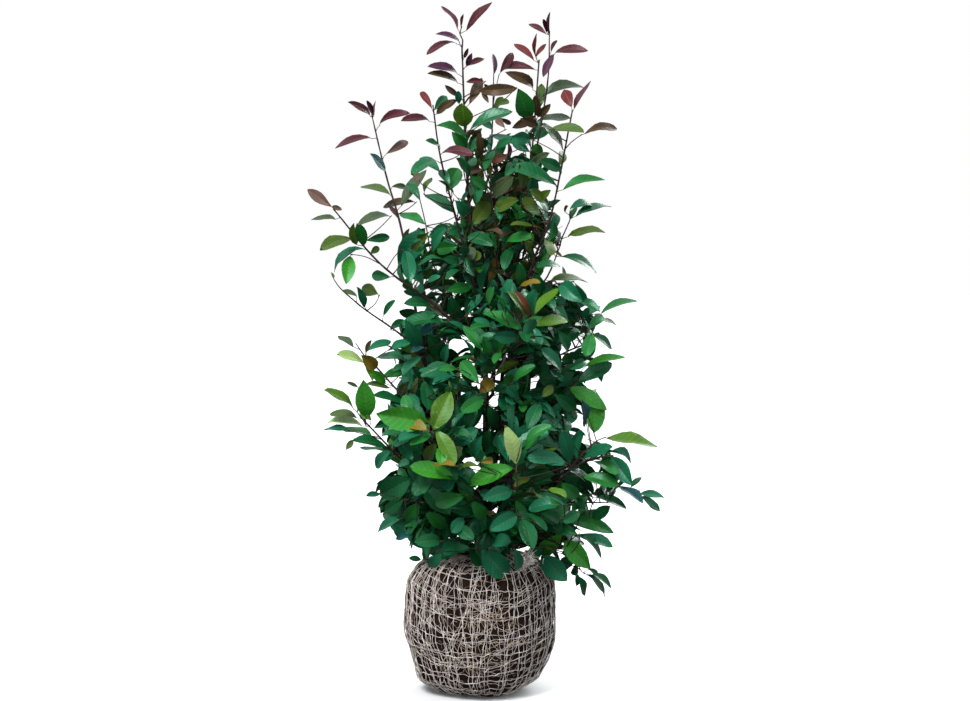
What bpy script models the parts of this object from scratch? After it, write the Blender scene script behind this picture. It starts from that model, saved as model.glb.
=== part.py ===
# A leafy evergreen hedging shrub, lifted from the field with its ball of soil.
# Metres, +Z up.  The origin is the middle of the ball's flat underside.
import math

import bmesh
import bpy
from mathutils import Vector, noise

# ---- driving dimensions ----
CLEARANCE = 0.0004          # gap left wherever one piece rests on another
LEAF_GAP = 0.003            # gap between neighbouring masses of foliage

BALL_HEIGHT = 0.330
BALL_HALF_WIDTH = 0.184
BALL_HALF_DEPTH = 0.172
BALL_SQUARENESS = 2.9       # 2 is an ellipse, more is boxier
BALL_LUMP = 0.035           # unevenness, as a share of the radius
BALL_SHOULDER = 0.55        # share of the height at which the ball is widest
BALL_LEAN = 0.008           # the ball has slumped this far to the right of its underside
BALL_SEGMENTS, BALL_RINGS = 18, 12

TRUNK_FOOT = (0.006, 0.0)   # where the trunk stands on the ball
FLARE_HEIGHT = 0.050
FLARE_RADIUS = 0.027
LIMB_STEP = 0.110           # length of one straight stretch of a limb
COLLAR_REACH = 2.4          # a limb leaves square for this many parent radii
SLIMMING = 0.5              # under 1, a limb loses most of its girth near its foot

MASS_SEGMENTS, MASS_RINGS = 10, 7
MASS_LUMP = 0.42            # unevenness of a mass, as a share of its radius
LUMP_SIZE = 0.070           # length of one swelling on a mass

# ---- limbs: parent, height at which it leaves, way points to the tip, radii ----
TRUNK_WAY = [(0.019, 0.0, 0.61), (0.012, 0.0, 0.90), (-0.014, 0.0, 1.09), (-0.029, 0.0, 1.30),
             (-0.037, 0.0, 1.52)]
TRUNK_RADII = (0.0150, 0.0026)

LEADERS = {
    "leader_left": ("trunk", 0.41,
                    [(-0.140, 0.04, 0.87), (-0.185, 0.06, 1.11), (-0.223, 0.08, 1.242),
                     (-0.260, 0.10, 1.395)],
                    (0.0095, 0.0022)),
    "leader_right": ("trunk", 0.44,
                     [(0.072, 0.05, 0.90), (0.101, 0.07, 1.09), (0.129, 0.09, 1.282), (0.149, 0.11, 1.528)],
                     (0.0095, 0.0022)),
    "leader_far_right": ("trunk", 0.52,
                         [(0.095, -0.02, 0.88), (0.129, -0.05, 1.03), (0.173, -0.08, 1.148),
                          (0.221, -0.11, 1.39)],
                         (0.0080, 0.0022)),
    "leader_right_twin": ("leader_right", 1.26, [(0.168, 0.08, 1.464), (0.173, 0.07, 1.593)],
                          (0.0040, 0.0020)),
    "stem_centre_left": ("trunk", 0.97,
                         [(-0.055, -0.03, 1.149), (-0.089, -0.07, 1.286), (-0.105, -0.10, 1.402)],
                         (0.0050, 0.0020)),
    "stem_centre_right": ("trunk", 0.70, [(0.048, 0.02, 0.989), (0.031, 0.05, 1.223), (0.036, 0.08, 1.405)],
                          (0.0055, 0.0020)),
}
BOUGHS = {
    "bough_left_mid": ("trunk", 0.82, [(-0.10, -0.03, 0.93), (-0.23, -0.06, 1.03), (-0.34, -0.08, 1.16)],
                       (0.0060, 0.0022)),
    "bough_left_long": ("leader_left", 0.70, [(-0.15, -0.03, 0.83), (-0.28, -0.03, 0.93)], (0.0055, 0.0024)),
    "bough_left_rising": ("trunk", 0.49, [(-0.08, -0.05, 0.61), (-0.17, -0.08, 0.71), (-0.25, -0.09, 0.80)],
                          (0.0060, 0.0024)),
    "bough_left_low": ("trunk", 0.38, [(-0.08, -0.06, 0.47), (-0.17, -0.10, 0.56), (-0.27, -0.14, 0.67)],
                       (0.0065, 0.0024)),
    "bough_front_left": ("trunk", 0.46, [(-0.05, -0.13, 0.53), (-0.09, -0.22, 0.61)], (0.0055, 0.0024)),
    "bough_front_right": ("trunk", 0.40, [(0.04, -0.10, 0.43), (0.07, -0.21, 0.54)], (0.0055, 0.0024)),
    "bough_front_upper": ("trunk", 0.65, [(0.03, -0.10, 0.76), (0.08, -0.16, 0.88)], (0.0045, 0.0022)),
    "bough_right_up": ("leader_far_right", 0.93, [(0.17, -0.03, 1.00), (0.23, -0.02, 1.06)],
                       (0.0040, 0.0020)),
    "bough_right_spread": ("trunk", 0.66, [(0.12, 0.04, 0.75), (0.20, 0.04, 0.81), (0.27, 0.04, 0.84)],
                           (0.0055, 0.0024)),
    "bough_right_low": ("trunk", 0.43, [(0.12, -0.05, 0.48), (0.22, -0.10, 0.55), (0.29, -0.12, 0.58)],
                        (0.0060, 0.0024)),
    "bough_right_out": ("bough_right_low", 0.47, [(0.19, -0.02, 0.46), (0.31, -0.04, 0.46)],
                        (0.0035, 0.0020)),
    "bough_right_drop": ("trunk", 0.365, [(0.10, -0.05, 0.385), (0.18, -0.10, 0.375), (0.23, -0.12, 0.34)],
                         (0.0050, 0.0022)),
    "bough_back_left": ("trunk", 0.56, [(-0.05, 0.10, 0.68), (-0.09, 0.19, 0.82), (-0.04, 0.20, 0.96)],
                        (0.0060, 0.0022)),
    "bough_back_right": ("trunk", 0.60, [(0.08, 0.10, 0.74), (0.12, 0.19, 0.88)], (0.0060, 0.0024)),
    "bough_back_low_left": ("trunk", 0.39, [(-0.07, 0.09, 0.44), (-0.15, 0.19, 0.51)], (0.0060, 0.0024)),
    "bough_back_low_right": ("trunk", 0.42, [(0.08, 0.08, 0.46), (0.16, 0.17, 0.52)], (0.0060, 0.0024)),
}

# ---- masses of foliage: centre, and full size across, in depth and in height ----
MASSES = {
    "foliage_top": ((-0.036, 0.00, 1.51), (0.18, 0.15, 0.31)),
    "foliage_top_right": ((0.167, 0.09, 1.495), (0.20, 0.15, 0.28)),
    "foliage_far_right_tip": ((0.240, -0.09, 1.323), (0.20, 0.16, 0.26)),
    "foliage_centre_left_tip": ((-0.108, -0.08, 1.325), (0.17, 0.13, 0.22)),
    "foliage_centre_tip": ((0.042, 0.07, 1.333), (0.12, 0.15, 0.30)),
    "foliage_left_tip": ((-0.260, 0.09, 1.313), (0.20, 0.14, 0.24)),
    "foliage_left_reach": ((-0.312, -0.08, 1.12), (0.20, 0.15, 0.24)),
    "foliage_upper_left": ((-0.165, 0.04, 1.14), (0.17, 0.18, 0.22)),
    "foliage_upper_centre": ((-0.030, -0.03, 1.11), (0.17, 0.20, 0.25)),
    "foliage_upper_right": ((0.110, 0.03, 1.14), (0.17, 0.20, 0.25)),
    "foliage_right_riser": ((0.250, -0.02, 1.09), (0.17, 0.16, 0.26)),
    "foliage_left_long": ((-0.268, -0.03, 0.94), (0.17, 0.18, 0.18)),
    "foliage_mid_left": ((-0.140, 0.00, 0.95), (0.18, 0.24, 0.27)),
    "foliage_mid_centre": ((0.000, 0.00, 0.90), (0.20, 0.26, 0.24)),
    "foliage_mid_right": ((0.165, 0.04, 0.96), (0.18, 0.24, 0.25)),
    "foliage_front_upper": ((0.095, -0.18, 0.90), (0.24, 0.16, 0.18)),
    "foliage_right_spread": ((0.295, 0.04, 0.84), (0.20, 0.19, 0.28)),
    "foliage_left_rise": ((-0.250, -0.09, 0.80), (0.19, 0.18, 0.18)),
    "foliage_core_front": ((0.000, -0.15, 0.73), (0.28, 0.20, 0.24)),
    "foliage_left_low": ((-0.290, -0.14, 0.67), (0.18, 0.20, 0.19)),
    "foliage_front_left": ((-0.120, -0.25, 0.61), (0.25, 0.18, 0.26)),
    "foliage_front_right": ((0.080, -0.24, 0.56), (0.26, 0.18, 0.25)),
    "foliage_core_left": ((-0.140, 0.03, 0.66), (0.23, 0.26, 0.28)),
    "foliage_core_right": ((0.170, -0.02, 0.70), (0.27, 0.28, 0.28)),
    "foliage_right_low": ((0.325, -0.12, 0.59), (0.22, 0.20, 0.19)),
    "foliage_right_out": ((0.350, -0.04, 0.46), (0.20, 0.16, 0.13)),
    "foliage_right_drop": ((0.240, -0.12, 0.34), (0.17, 0.17, 0.23)),
    "foliage_low_left": ((-0.150, -0.08, 0.43), (0.20, 0.23, 0.22)),
    "foliage_low_front": ((0.020, -0.15, 0.41), (0.25, 0.20, 0.16)),
    "foliage_low_right": ((0.155, -0.02, 0.42), (0.22, 0.24, 0.21)),
    "foliage_back_upper": ((0.010, 0.19, 1.00), (0.30, 0.20, 0.32)),
    "foliage_back_left": ((-0.130, 0.24, 0.78), (0.28, 0.24, 0.30)),
    "foliage_back_right": ((0.160, 0.25, 0.80), (0.28, 0.24, 0.30)),
    "foliage_back_low_left": ((-0.150, 0.24, 0.50), (0.30, 0.26, 0.26)),
    "foliage_back_low_right": ((0.160, 0.22, 0.50), (0.30, 0.26, 0.26)),
}


def clear_scene():
    for thing in list(bpy.data.objects):
        bpy.data.objects.remove(thing, do_unlink=True)


def plain_material(name, colour, roughness):
    made = bpy.data.materials.new(name)
    made.use_nodes = True
    shader = made.node_tree.nodes["Principled BSDF"]
    shader.inputs["Base Color"].default_value = (*colour, 1.0)
    shader.inputs["Roughness"].default_value = roughness
    shader.inputs["Metallic"].default_value = 0.0
    return made


def add_object(name, mesh):
    thing = bpy.data.objects.new(name, mesh)
    bpy.context.scene.collection.objects.link(thing)
    return thing


def mesh_from(bm, name):
    bmesh.ops.recalc_face_normals(bm, faces=bm.faces)
    mesh = bpy.data.meshes.new(name)
    bm.to_mesh(mesh)
    bm.free()
    return mesh


# ---- limbs ----
def smooth_path(points):
    """Evenly stepped points along a smooth curve through the given ones."""
    points = [Vector(point) for point in points]
    ends = [2 * points[0] - points[1]] + points + [2 * points[-1] - points[-2]]
    path = [points[0]]
    for before, start, end, after in zip(ends, ends[1:], ends[2:], ends[3:]):
        steps = max(1, round((end - start).length / LIMB_STEP))
        out_way, in_way = (end - before) / 2, (after - start) / 2
        for step in range(1, steps + 1):
            t = step / steps
            place = start * (2 * t ** 3 - 3 * t ** 2 + 1) + end * (3 * t ** 2 - 2 * t ** 3)
            path.append(place + out_way * (t ** 3 - 2 * t ** 2 + t) + in_way * (t ** 3 - t ** 2))
    return path


def point_at_height(path, height):
    """The place where a rising path passes a height."""
    for low, high in zip(path, path[1:]):
        if low.z <= height <= high.z:
            return low.lerp(high, (height - low.z) / (high.z - low.z))
    return path[-1]


def taper(path, radii):
    lengths = [0.0]
    for low, high in zip(path, path[1:]):
        lengths.append(lengths[-1] + (high - low).length)
    return [radii[0] + (radii[1] - radii[0]) * (length / lengths[-1]) ** SLIMMING for length in lengths]


def tube(name, path, radii, sides, extra=0.0):
    """A closed tube along a path; extra swells it all over, its ends too."""
    path = list(path)
    path[0] = path[0] + (path[0] - path[1]).normalized() * extra
    path[-1] = path[-1] + (path[-1] - path[-2]).normalized() * extra
    curve = bpy.data.curves.new(name, "CURVE")
    curve.dimensions = "3D"
    curve.twist_mode = "MINIMUM"
    curve.bevel_depth = 1.0
    curve.bevel_resolution = (sides - 4) // 2
    curve.use_fill_caps = True
    spline = curve.splines.new("POLY")
    spline.points.add(len(path) - 1)
    for point, place, radius in zip(spline.points, path, radii):
        point.co = (*place, 1.0)
        point.radius = radius + extra
    guide = add_object(name + "_guide", curve)
    depsgraph = bpy.context.evaluated_depsgraph_get()
    mesh = bpy.data.meshes.new_from_object(guide.evaluated_get(depsgraph))
    bpy.data.objects.remove(guide, do_unlink=True)
    mesh.name = name
    bm = bmesh.new()
    bm.from_mesh(mesh)
    bmesh.ops.remove_doubles(bm, verts=bm.verts, dist=0.00001)
    bmesh.ops.recalc_face_normals(bm, faces=bm.faces)
    bmesh.ops.triangulate(bm, faces=bm.faces, quad_method="FIXED")
    bm.to_mesh(mesh)
    bm.free()
    return mesh


def trunk_path_and_radii():
    foot = Vector((*TRUNK_FOOT, BALL_HEIGHT + CLEARANCE))
    flare_top = foot + Vector((0.001, 0.0, FLARE_HEIGHT))
    path = [foot, foot + Vector((0.0, 0.0, 0.35 * FLARE_HEIGHT))] + smooth_path([flare_top] + TRUNK_WAY)
    slim = taper(path[2:], TRUNK_RADII)
    waist = 0.45 * FLARE_RADIUS + 0.55 * slim[0]
    return path, [FLARE_RADIUS, waist] + slim


def limb_path(parent_path, parent_radius, height, way):
    """Leaves the parent's axis square to it, then bends round to the way points."""
    start = point_at_height(parent_path, height)
    outward = Vector(way[0]) - start
    outward.z = 0.0
    collar = start + outward.normalized() * parent_radius * COLLAR_REACH
    collar.z += parent_radius * COLLAR_REACH * 0.8
    return smooth_path([start, collar] + way)


# ---- fitting one piece round another ----
def boxes_meet(mesh_a, mesh_b):
    corners = []
    for mesh in (mesh_a, mesh_b):
        places = [vert.co for vert in mesh.vertices]
        corners.append([(min(p[i] for p in places), max(p[i] for p in places)) for i in range(3)])
    return all(a[0] <= b[1] and b[0] <= a[1] for a, b in zip(*corners))


def keep_largest_island(bm):
    islands, seen = [], set()
    for face in bm.faces:
        if face in seen:
            continue
        island, front = [], [face]
        seen.add(face)
        while front:
            current = front.pop()
            island.append(current)
            for edge in current.edges:
                for other in edge.link_faces:
                    if other not in seen:
                        seen.add(other)
                        front.append(other)
        islands.append(island)
    islands.sort(key=lambda island: sum(face.calc_area() for face in island))
    for island in islands[:-1]:
        bmesh.ops.delete(bm, geom=island, context="FACES")


def cut_clear(thing, swollen_meshes):
    """Cuts the swollen shapes out of an object one by one, keeping its largest part."""
    for mesh in swollen_meshes:
        if not boxes_meet(thing.data, mesh):
            continue
        cutter = add_object("cutter", mesh)
        cut = thing.modifiers.new("clearance", "BOOLEAN")
        cut.operation = "DIFFERENCE"
        cut.object = cutter
        depsgraph = bpy.context.evaluated_depsgraph_get()
        bm = bmesh.new()
        bm.from_mesh(thing.evaluated_get(depsgraph).to_mesh())
        keep_largest_island(bm)
        thing.modifiers.clear()
        bm.to_mesh(thing.data)
        bm.free()
        bpy.data.objects.remove(cutter, do_unlink=True)


# ---- root ball ----
def build_root_ball(material):
    """A lumpy, boxy ball that has settled flat on the ground, with a level top."""
    bm = bmesh.new()
    bmesh.ops.create_uvsphere(bm, u_segments=BALL_SEGMENTS, v_segments=BALL_RINGS, radius=1.0)
    middle = BALL_HEIGHT * BALL_SHOULDER
    for vert in bm.verts:
        way = vert.co.normalized()
        level = abs(way.z) ** BALL_SQUARENESS
        across = math.hypot(way.x, way.y) ** BALL_SQUARENESS
        reach = (level + across) ** (-1.0 / BALL_SQUARENESS)
        reach *= 1.0 + BALL_LUMP * noise.noise(way * 2.1 + Vector((4.0, 1.0, 7.0)))
        rise = BALL_HEIGHT * 1.03 - middle if way.z > 0.0 else middle * 1.03
        vert.co = Vector((way.x * BALL_HALF_WIDTH, way.y * BALL_HALF_DEPTH, way.z * rise)) * reach
        vert.co.z += middle
        vert.co.x += BALL_LEAN * max(0.0, vert.co.z / BALL_HEIGHT)
    for height, normal in ((0.0, (0, 0, -1)), (BALL_HEIGHT, (0, 0, 1))):
        whole = bm.verts[:] + bm.edges[:] + bm.faces[:]
        cut = bmesh.ops.bisect_plane(bm, geom=whole, plane_co=(0, 0, height), plane_no=normal,
                                     clear_outer=True, dist=0.000001)
        rim = [item for item in cut["geom_cut"] if isinstance(item, bmesh.types.BMEdge)]
        bmesh.ops.contextual_create(bm, geom=rim)
    bmesh.ops.triangulate(bm, faces=bm.faces)
    thing = add_object("root_ball", mesh_from(bm, "root_ball"))
    thing.data.materials.append(material)
    return thing


def swollen_ball(ball):
    bm = bmesh.new()
    bm.from_mesh(ball.data)
    for vert in bm.verts:
        vert.co += vert.normal * LEAF_GAP
    return mesh_from(bm, "ball_cutter")


# ---- foliage ----
def reach_along(size, way):
    """Distance from an ellipsoid's centre to its skin in one direction."""
    return 1.0 / math.sqrt(sum((part / (0.5 * full)) ** 2 for part, full in zip(way, size)))


def fences_for(name):
    """Planes half way between a mass and each of its neighbours."""
    centre, size = Vector(MASSES[name][0]), MASSES[name][1]
    fences = []
    for other, (other_centre, other_size) in MASSES.items():
        if other == name:
            continue
        gap = Vector(other_centre) - centre
        way = gap.normalized()
        own, theirs = reach_along(size, way), reach_along(other_size, way)
        room = gap.length
        share = room * own / (own + theirs) if own + theirs > room else own + 0.5 * (room - own - theirs)
        fences.append((way, share - 0.5 * LEAF_GAP))
    return fences


def build_mass(name, seed, material):
    """A lumpy, closed heap of leaves that stops short of its neighbours."""
    centre, size = MASSES[name]
    fences = fences_for(name)
    bm = bmesh.new()
    bmesh.ops.create_uvsphere(bm, u_segments=MASS_SEGMENTS, v_segments=MASS_RINGS, radius=1.0)
    for vert in bm.verts:
        way = vert.co.normalized()
        reach = reach_along(size, way)
        swelling = noise.noise(way * reach / LUMP_SIZE + Vector((3.1 * seed, 1.7 * seed, 5.3)))
        reach *= 1.0 + MASS_LUMP * swelling
        for fence, distance in fences:
            facing = way.dot(fence)
            if facing > 0.0:
                reach = min(reach, distance / facing)
        vert.co = Vector(centre) + way * reach
    bmesh.ops.triangulate(bm, faces=bm.faces)
    thing = add_object(name, mesh_from(bm, name))
    thing.data.materials.append(material)
    return thing


def build():
    clear_scene()
    soil = plain_material("soil", (0.030, 0.018, 0.013), 0.95)
    bark = plain_material("bark", (0.035, 0.014, 0.012), 0.75)
    leaf = plain_material("leaf", (0.035, 0.100, 0.020), 0.40)

    ball = build_root_ball(soil)
    path, radii = trunk_path_and_radii()
    trunk = add_object("trunk", tube("trunk", path, radii, 8))
    trunk.data.materials.append(bark)
    paths, girths = {"trunk": path}, {"trunk": radii}
    swollen = {"trunk": tube("trunk_cutter", path, radii, 8, CLEARANCE)}
    for name, (parent, height, way, ends) in {**LEADERS, **BOUGHS}.items():
        nearest = min(range(len(paths[parent])), key=lambda i: abs(paths[parent][i].z - height))
        path = limb_path(paths[parent], girths[parent][nearest], height, way)
        radii = taper(path, ends)
        limb = add_object(name, tube(name, path, radii, 6))
        limb.data.materials.append(bark)
        cut_clear(limb, swollen.values())
        paths[name], girths[name] = path, radii
        swollen[name] = tube(name + "_cutter", path, radii, 6, CLEARANCE)
    swollen["root_ball"] = swollen_ball(ball)
    for seed, name in enumerate(MASSES):
        cut_clear(build_mass(name, seed, leaf), swollen.values())


build()
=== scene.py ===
import math
import random

import bpy
import numpy as np
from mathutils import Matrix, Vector, noise
from mathutils.bvhtree import BVHTree


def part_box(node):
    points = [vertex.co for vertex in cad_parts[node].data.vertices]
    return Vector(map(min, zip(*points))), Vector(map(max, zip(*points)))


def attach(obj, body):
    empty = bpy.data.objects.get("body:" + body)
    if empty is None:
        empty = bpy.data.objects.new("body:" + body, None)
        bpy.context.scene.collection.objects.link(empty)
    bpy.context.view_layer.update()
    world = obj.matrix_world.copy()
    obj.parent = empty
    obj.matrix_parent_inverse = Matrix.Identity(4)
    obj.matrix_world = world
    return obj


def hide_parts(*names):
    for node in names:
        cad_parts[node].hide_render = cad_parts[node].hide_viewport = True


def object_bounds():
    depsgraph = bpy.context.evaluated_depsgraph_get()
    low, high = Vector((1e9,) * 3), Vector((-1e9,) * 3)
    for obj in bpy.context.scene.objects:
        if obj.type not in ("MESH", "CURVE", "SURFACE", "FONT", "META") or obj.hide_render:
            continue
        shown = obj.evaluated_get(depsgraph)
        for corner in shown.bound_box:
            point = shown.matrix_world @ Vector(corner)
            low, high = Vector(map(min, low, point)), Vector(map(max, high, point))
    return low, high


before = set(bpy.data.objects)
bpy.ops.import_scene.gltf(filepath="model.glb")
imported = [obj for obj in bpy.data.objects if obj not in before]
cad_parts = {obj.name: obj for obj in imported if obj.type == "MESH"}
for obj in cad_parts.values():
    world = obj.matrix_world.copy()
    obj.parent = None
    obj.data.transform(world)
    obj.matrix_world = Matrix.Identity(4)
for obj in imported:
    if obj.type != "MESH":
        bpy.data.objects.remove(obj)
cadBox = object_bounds()

# where the eye stands; lengths in metres, pitch in degrees below the level
view = {
    "side": 0.0168,
    "distance": 4.6,
    "height": 1.05,
    "pitch": 2.83,
    "lens": 71.13,
    "sensor": 36.0,
    "picture": (970, 701),
}
focal = view["picture"][0] * view["lens"] / view["sensor"]      # in pixels
eye = Vector((view["side"], -view["distance"], view["height"]))
pixel = view["distance"] / focal        # metres to a pixel on the trunk's plane
anyTurn = (0, 6.28)     # a random angle's range


# camera
def addCamera():
    bpy.ops.object.camera_add(location=eye, rotation=(math.radians(90 - view["pitch"]), 0, 0))
    camera = bpy.context.object
    camera.data.lens = view["lens"]
    camera.data.sensor_width = view["sensor"]
    bpy.context.scene.camera = camera


def spot(x, y, depth):
    # the point on the upright plane Y = depth that shows at pixel x, y
    wide, high = view["picture"]
    across, up = (x - wide / 2) / focal, (high / 2 - y) / focal
    pitch = math.radians(view["pitch"])
    forward = math.cos(pitch) + up * math.sin(pitch)
    rise = up * math.cos(pitch) - math.sin(pitch)
    run = (view["distance"] + depth) / forward
    return Vector((view["side"] + across * run, depth, view["height"] + rise * run))


def pixelOf(place):
    # the other way round
    wide, high = view["picture"]
    pitch = math.radians(view["pitch"])
    gap = place - eye
    forward = gap.y * math.cos(pitch) - gap.z * math.sin(pitch)
    up = gap.z * math.cos(pitch) + gap.y * math.sin(pitch)
    return wide / 2 + focal * gap.x / forward, high / 2 - focal * up / forward


# shader helpers
class Wire:
    # a node socket that can stand in plain sums
    def __init__(self, recipe, socket):
        self.recipe = recipe
        self.socket = socket

    def combine(self, operation, first, second):
        return self.recipe.node("ShaderNodeMath", {"operation": operation}, {0: first, 1: second})

    def __add__(self, other):
        return self.combine("ADD", self, other)

    def __radd__(self, other):
        return self.combine("ADD", other, self)

    def __sub__(self, other):
        return self.combine("SUBTRACT", self, other)

    def __rsub__(self, other):
        return self.combine("SUBTRACT", other, self)

    def __mul__(self, other):
        return self.combine("MULTIPLY", self, other)

    def __rmul__(self, other):
        return self.combine("MULTIPLY", other, self)

    def __pow__(self, other):
        return self.combine("POWER", self, other)


class Recipe:
    # builds one Principled material
    def __init__(self, name):
        self.material = bpy.data.materials.new(name)
        self.material.use_nodes = True
        self.tree = self.material.node_tree
        self.shader = self.tree.nodes["Principled BSDF"]

    def put(self, socket, value):
        if isinstance(value, Wire):
            self.tree.links.new(value.socket, socket)
        elif isinstance(value, tuple) and len(value) == 3 and socket.type == "RGBA":
            socket.default_value = (*value, 1.0)
        else:
            socket.default_value = value

    def node(self, kind, settings=None, sockets=None, output=0):
        made = self.tree.nodes.new(kind)
        for name, value in (settings or {}).items():
            if name == "stops":
                setStops(made.color_ramp.elements, value)
            else:
                setattr(made, name, value)
        for name, value in (sockets or {}).items():
            self.put(made.inputs[name], value)
        return Wire(self, made.outputs[output])

    def place(self):
        return self.node("ShaderNodeTexCoord", output="Object")

    def noise(self, scale, detail=3.0, roughness=0.5, stretch=(1.0, 1.0, 1.0)):
        where = self.node("ShaderNodeMapping", None, {"Vector": self.place(), "Scale": stretch})
        sockets = {"Vector": where, "Scale": scale, "Detail": detail, "Roughness": roughness}
        return self.node("ShaderNodeTexNoise", None, sockets)

    def blend(self, factor, first, second):
        return self.node("ShaderNodeMix", {"data_type": "RGBA"}, {0: factor, 6: first, 7: second}, output=2)

    def bump(self, height, strength, distance):
        sockets = {"Height": height, "Strength": strength, "Distance": distance}
        return self.node("ShaderNodeBump", None, sockets)

    def finish(self, **sockets):
        for name, value in sockets.items():
            self.put(self.shader.inputs[name.replace("_", " ")], value)
        return self.material


def setStops(ramp, stops):
    while len(ramp) < len(stops):
        ramp.new(0.5)
    for element, (place, colour) in zip(ramp, stops):
        element.position = place
        element.color = (*colour, 1.0)


# leaves
leafShape = {
    "stations": (0.0, 0.12, 0.29, 0.47, 0.64, 0.80, 0.92, 1.0),     # along the blade, closer at its ends
    # where the points stand across, as shares of the half width: rib, half way out and underneath
    "ribWidth": 0.045,
    "between": 0.52,
    "underRib": 0.16,
    "baseFullness": 0.95,   # more draws the blade in towards its stalk
    "tipFullness": (0.62, 1.02),    # more draws it in towards its tip, from leaf to leaf
    "bluntness": 0.012,     # width of the two ends over the widest
    "thickness": 0.0007,
    "midThickness": 0.0006,     # how much more it is where the blade is widest
    "length": 0.100,
    "widthShare": 0.44,     # width over length
    "youngWidthShare": 0.32,
    "roll": 0.18,           # how far the margins turn down again
    "archTop": 0.8,         # under 1 puts the top of the arch nearer the stalk
    "twist": (-0.5, 0.5),
    "untwisted": 0.4,       # place along the blade that the twist leaves as it is
    "wave": (0.1, 1.0),     # from nearly flat to wavy
    "waveForm": (0.08, 9.0, 14.0),      # height over the width, closeness, and shift from leaf to leaf
}

# upper and under colour of the blade, and how rough its upper side is
# the colours are plain, and each spray is dealt its own few kinds
leafKinds = {
    "darkGreen": dict(top=(0.004, 0.076, 0.020), under=(0.016, 0.100, 0.032), rough=0.34),
    # the blue of the next kind is partly the leaves' own and partly painted sky sheen
    "teal": dict(top=(0.005, 0.096, 0.040), under=(0.018, 0.112, 0.050), rough=0.38),
    "midGreen": dict(top=(0.010, 0.122, 0.016), under=(0.034, 0.150, 0.028), rough=0.36),
    "brightGreen": dict(top=(0.026, 0.186, 0.010), under=(0.060, 0.200, 0.028), rough=0.42),
    "limeGreen": dict(top=(0.060, 0.140, 0.006), under=(0.110, 0.190, 0.030), rough=0.44),
    "paleGreen": dict(top=(0.280, 0.400, 0.130), under=(0.280, 0.380, 0.150), rough=0.46),
    "olive": dict(top=(0.043, 0.076, 0.004), under=(0.070, 0.096, 0.014), rough=0.44),
    "bronze": dict(top=(0.150, 0.100, 0.006), under=(0.150, 0.105, 0.020), rough=0.42),
    "umber": dict(top=(0.050, 0.030, 0.012), under=(0.080, 0.046, 0.026), rough=0.45),
    "greyGreen": dict(top=(0.036, 0.050, 0.018), under=(0.062, 0.080, 0.038), rough=0.48),
    "taupe": dict(top=(0.085, 0.046, 0.036), under=(0.110, 0.068, 0.052), rough=0.48),
    "salmon": dict(top=(0.170, 0.050, 0.028), under=(0.180, 0.070, 0.045), rough=0.48),
    "burgundy": dict(top=(0.048, 0.006, 0.011), under=(0.070, 0.015, 0.020), rough=0.42),
    "purple": dict(top=(0.050, 0.014, 0.034), under=(0.075, 0.028, 0.044), rough=0.45),
    "red": dict(top=(0.090, 0.009, 0.007), under=(0.100, 0.020, 0.015), rough=0.46),
    # the next kind's blue-grey is painted sky sheen on green blades
    "blueGrey": dict(top=(0.010, 0.068, 0.078), under=(0.028, 0.085, 0.092), rough=0.46),
}
youngKinds = ("burgundy", "purple", "red", "taupe", "salmon", "umber")

# the finish of every blade
bladeLook = {
    "mottle": (38.0, 4.0),      # scale and detail of the pale and deep patches
    "deep": 0.66,           # times the blade's colour
    "pale": 1.36,
    "vein": (1.9, 0.012),   # times the blade's colour, and how much is added
    "veinShow": 0.38,
    "veins": 9.0,           # along the blade
    "veinLean": 1.5,        # how far a vein runs on towards the tip, in gaps between veins
    "veinFineness": 6.0,
    "grain": (90.0, 2.0),
    "veinDepth": 0.5,
    "bump": (0.30, 0.0012),
    "gloss": 0.42,
    "youngGloss": 0.3,
    "sheen": (0.60, 1.0, 0.86),
    "youngSheen": (1.0, 0.72, 0.76),
    "under": (0.6, 0.2),    # roughness and gloss underneath
    "rib": (0.45, 0.3),     # and of the rib
    "ribPale": (0.26, 0.34, 0.12),
    "ribShare": (0.88, 0.12),       # of the blade's own colour and of the pale one
}


def leafTemplate():
    # one closed blade: each ring runs over the top from margin to margin and back underneath
    rib, between, under = leafShape["ribWidth"], leafShape["between"], leafShape["underRib"]
    ring = [(-1.0, 0), (-between, 0), (-rib, 0), (rib, 0), (between, 0), (1.0, 0), (under, 1), (-under, 1)]
    top, below, ribPart = 0, 1, 2       # which material a face has
    along, across, low, faces, parts = [], [], [], [], []
    for station in leafShape["stations"]:
        for place, lower in ring:
            along.append(station)
            across.append(place)
            low.append(float(lower))
    sides = len(ring)
    last = (len(leafShape["stations"]) - 1) * sides
    for start in range(0, last, sides):
        for corner in range(sides):
            following = (corner + 1) % sides
            quad = (corner, following, sides + following, sides + corner)
            faces.append([start + point for point in quad])
            parts.append(below if corner > 4 else (ribPart if corner == 2 else top))
    for start, turned in ((0, True), (last, False)):
        for quad in ((0, 1, 6, 7), (1, 2, 5, 6), (2, 3, 4, 5)):
            cap = [start + corner for corner in quad]
            faces.append(cap if turned else cap[::-1])
            parts.append(top)
    faces = np.array(faces)[:, ::-1]
    margin = np.array([abs(place) == 1.0 for place in across])
    return np.array(along), np.array(across), np.array(low), faces, np.array(parts), margin


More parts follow.
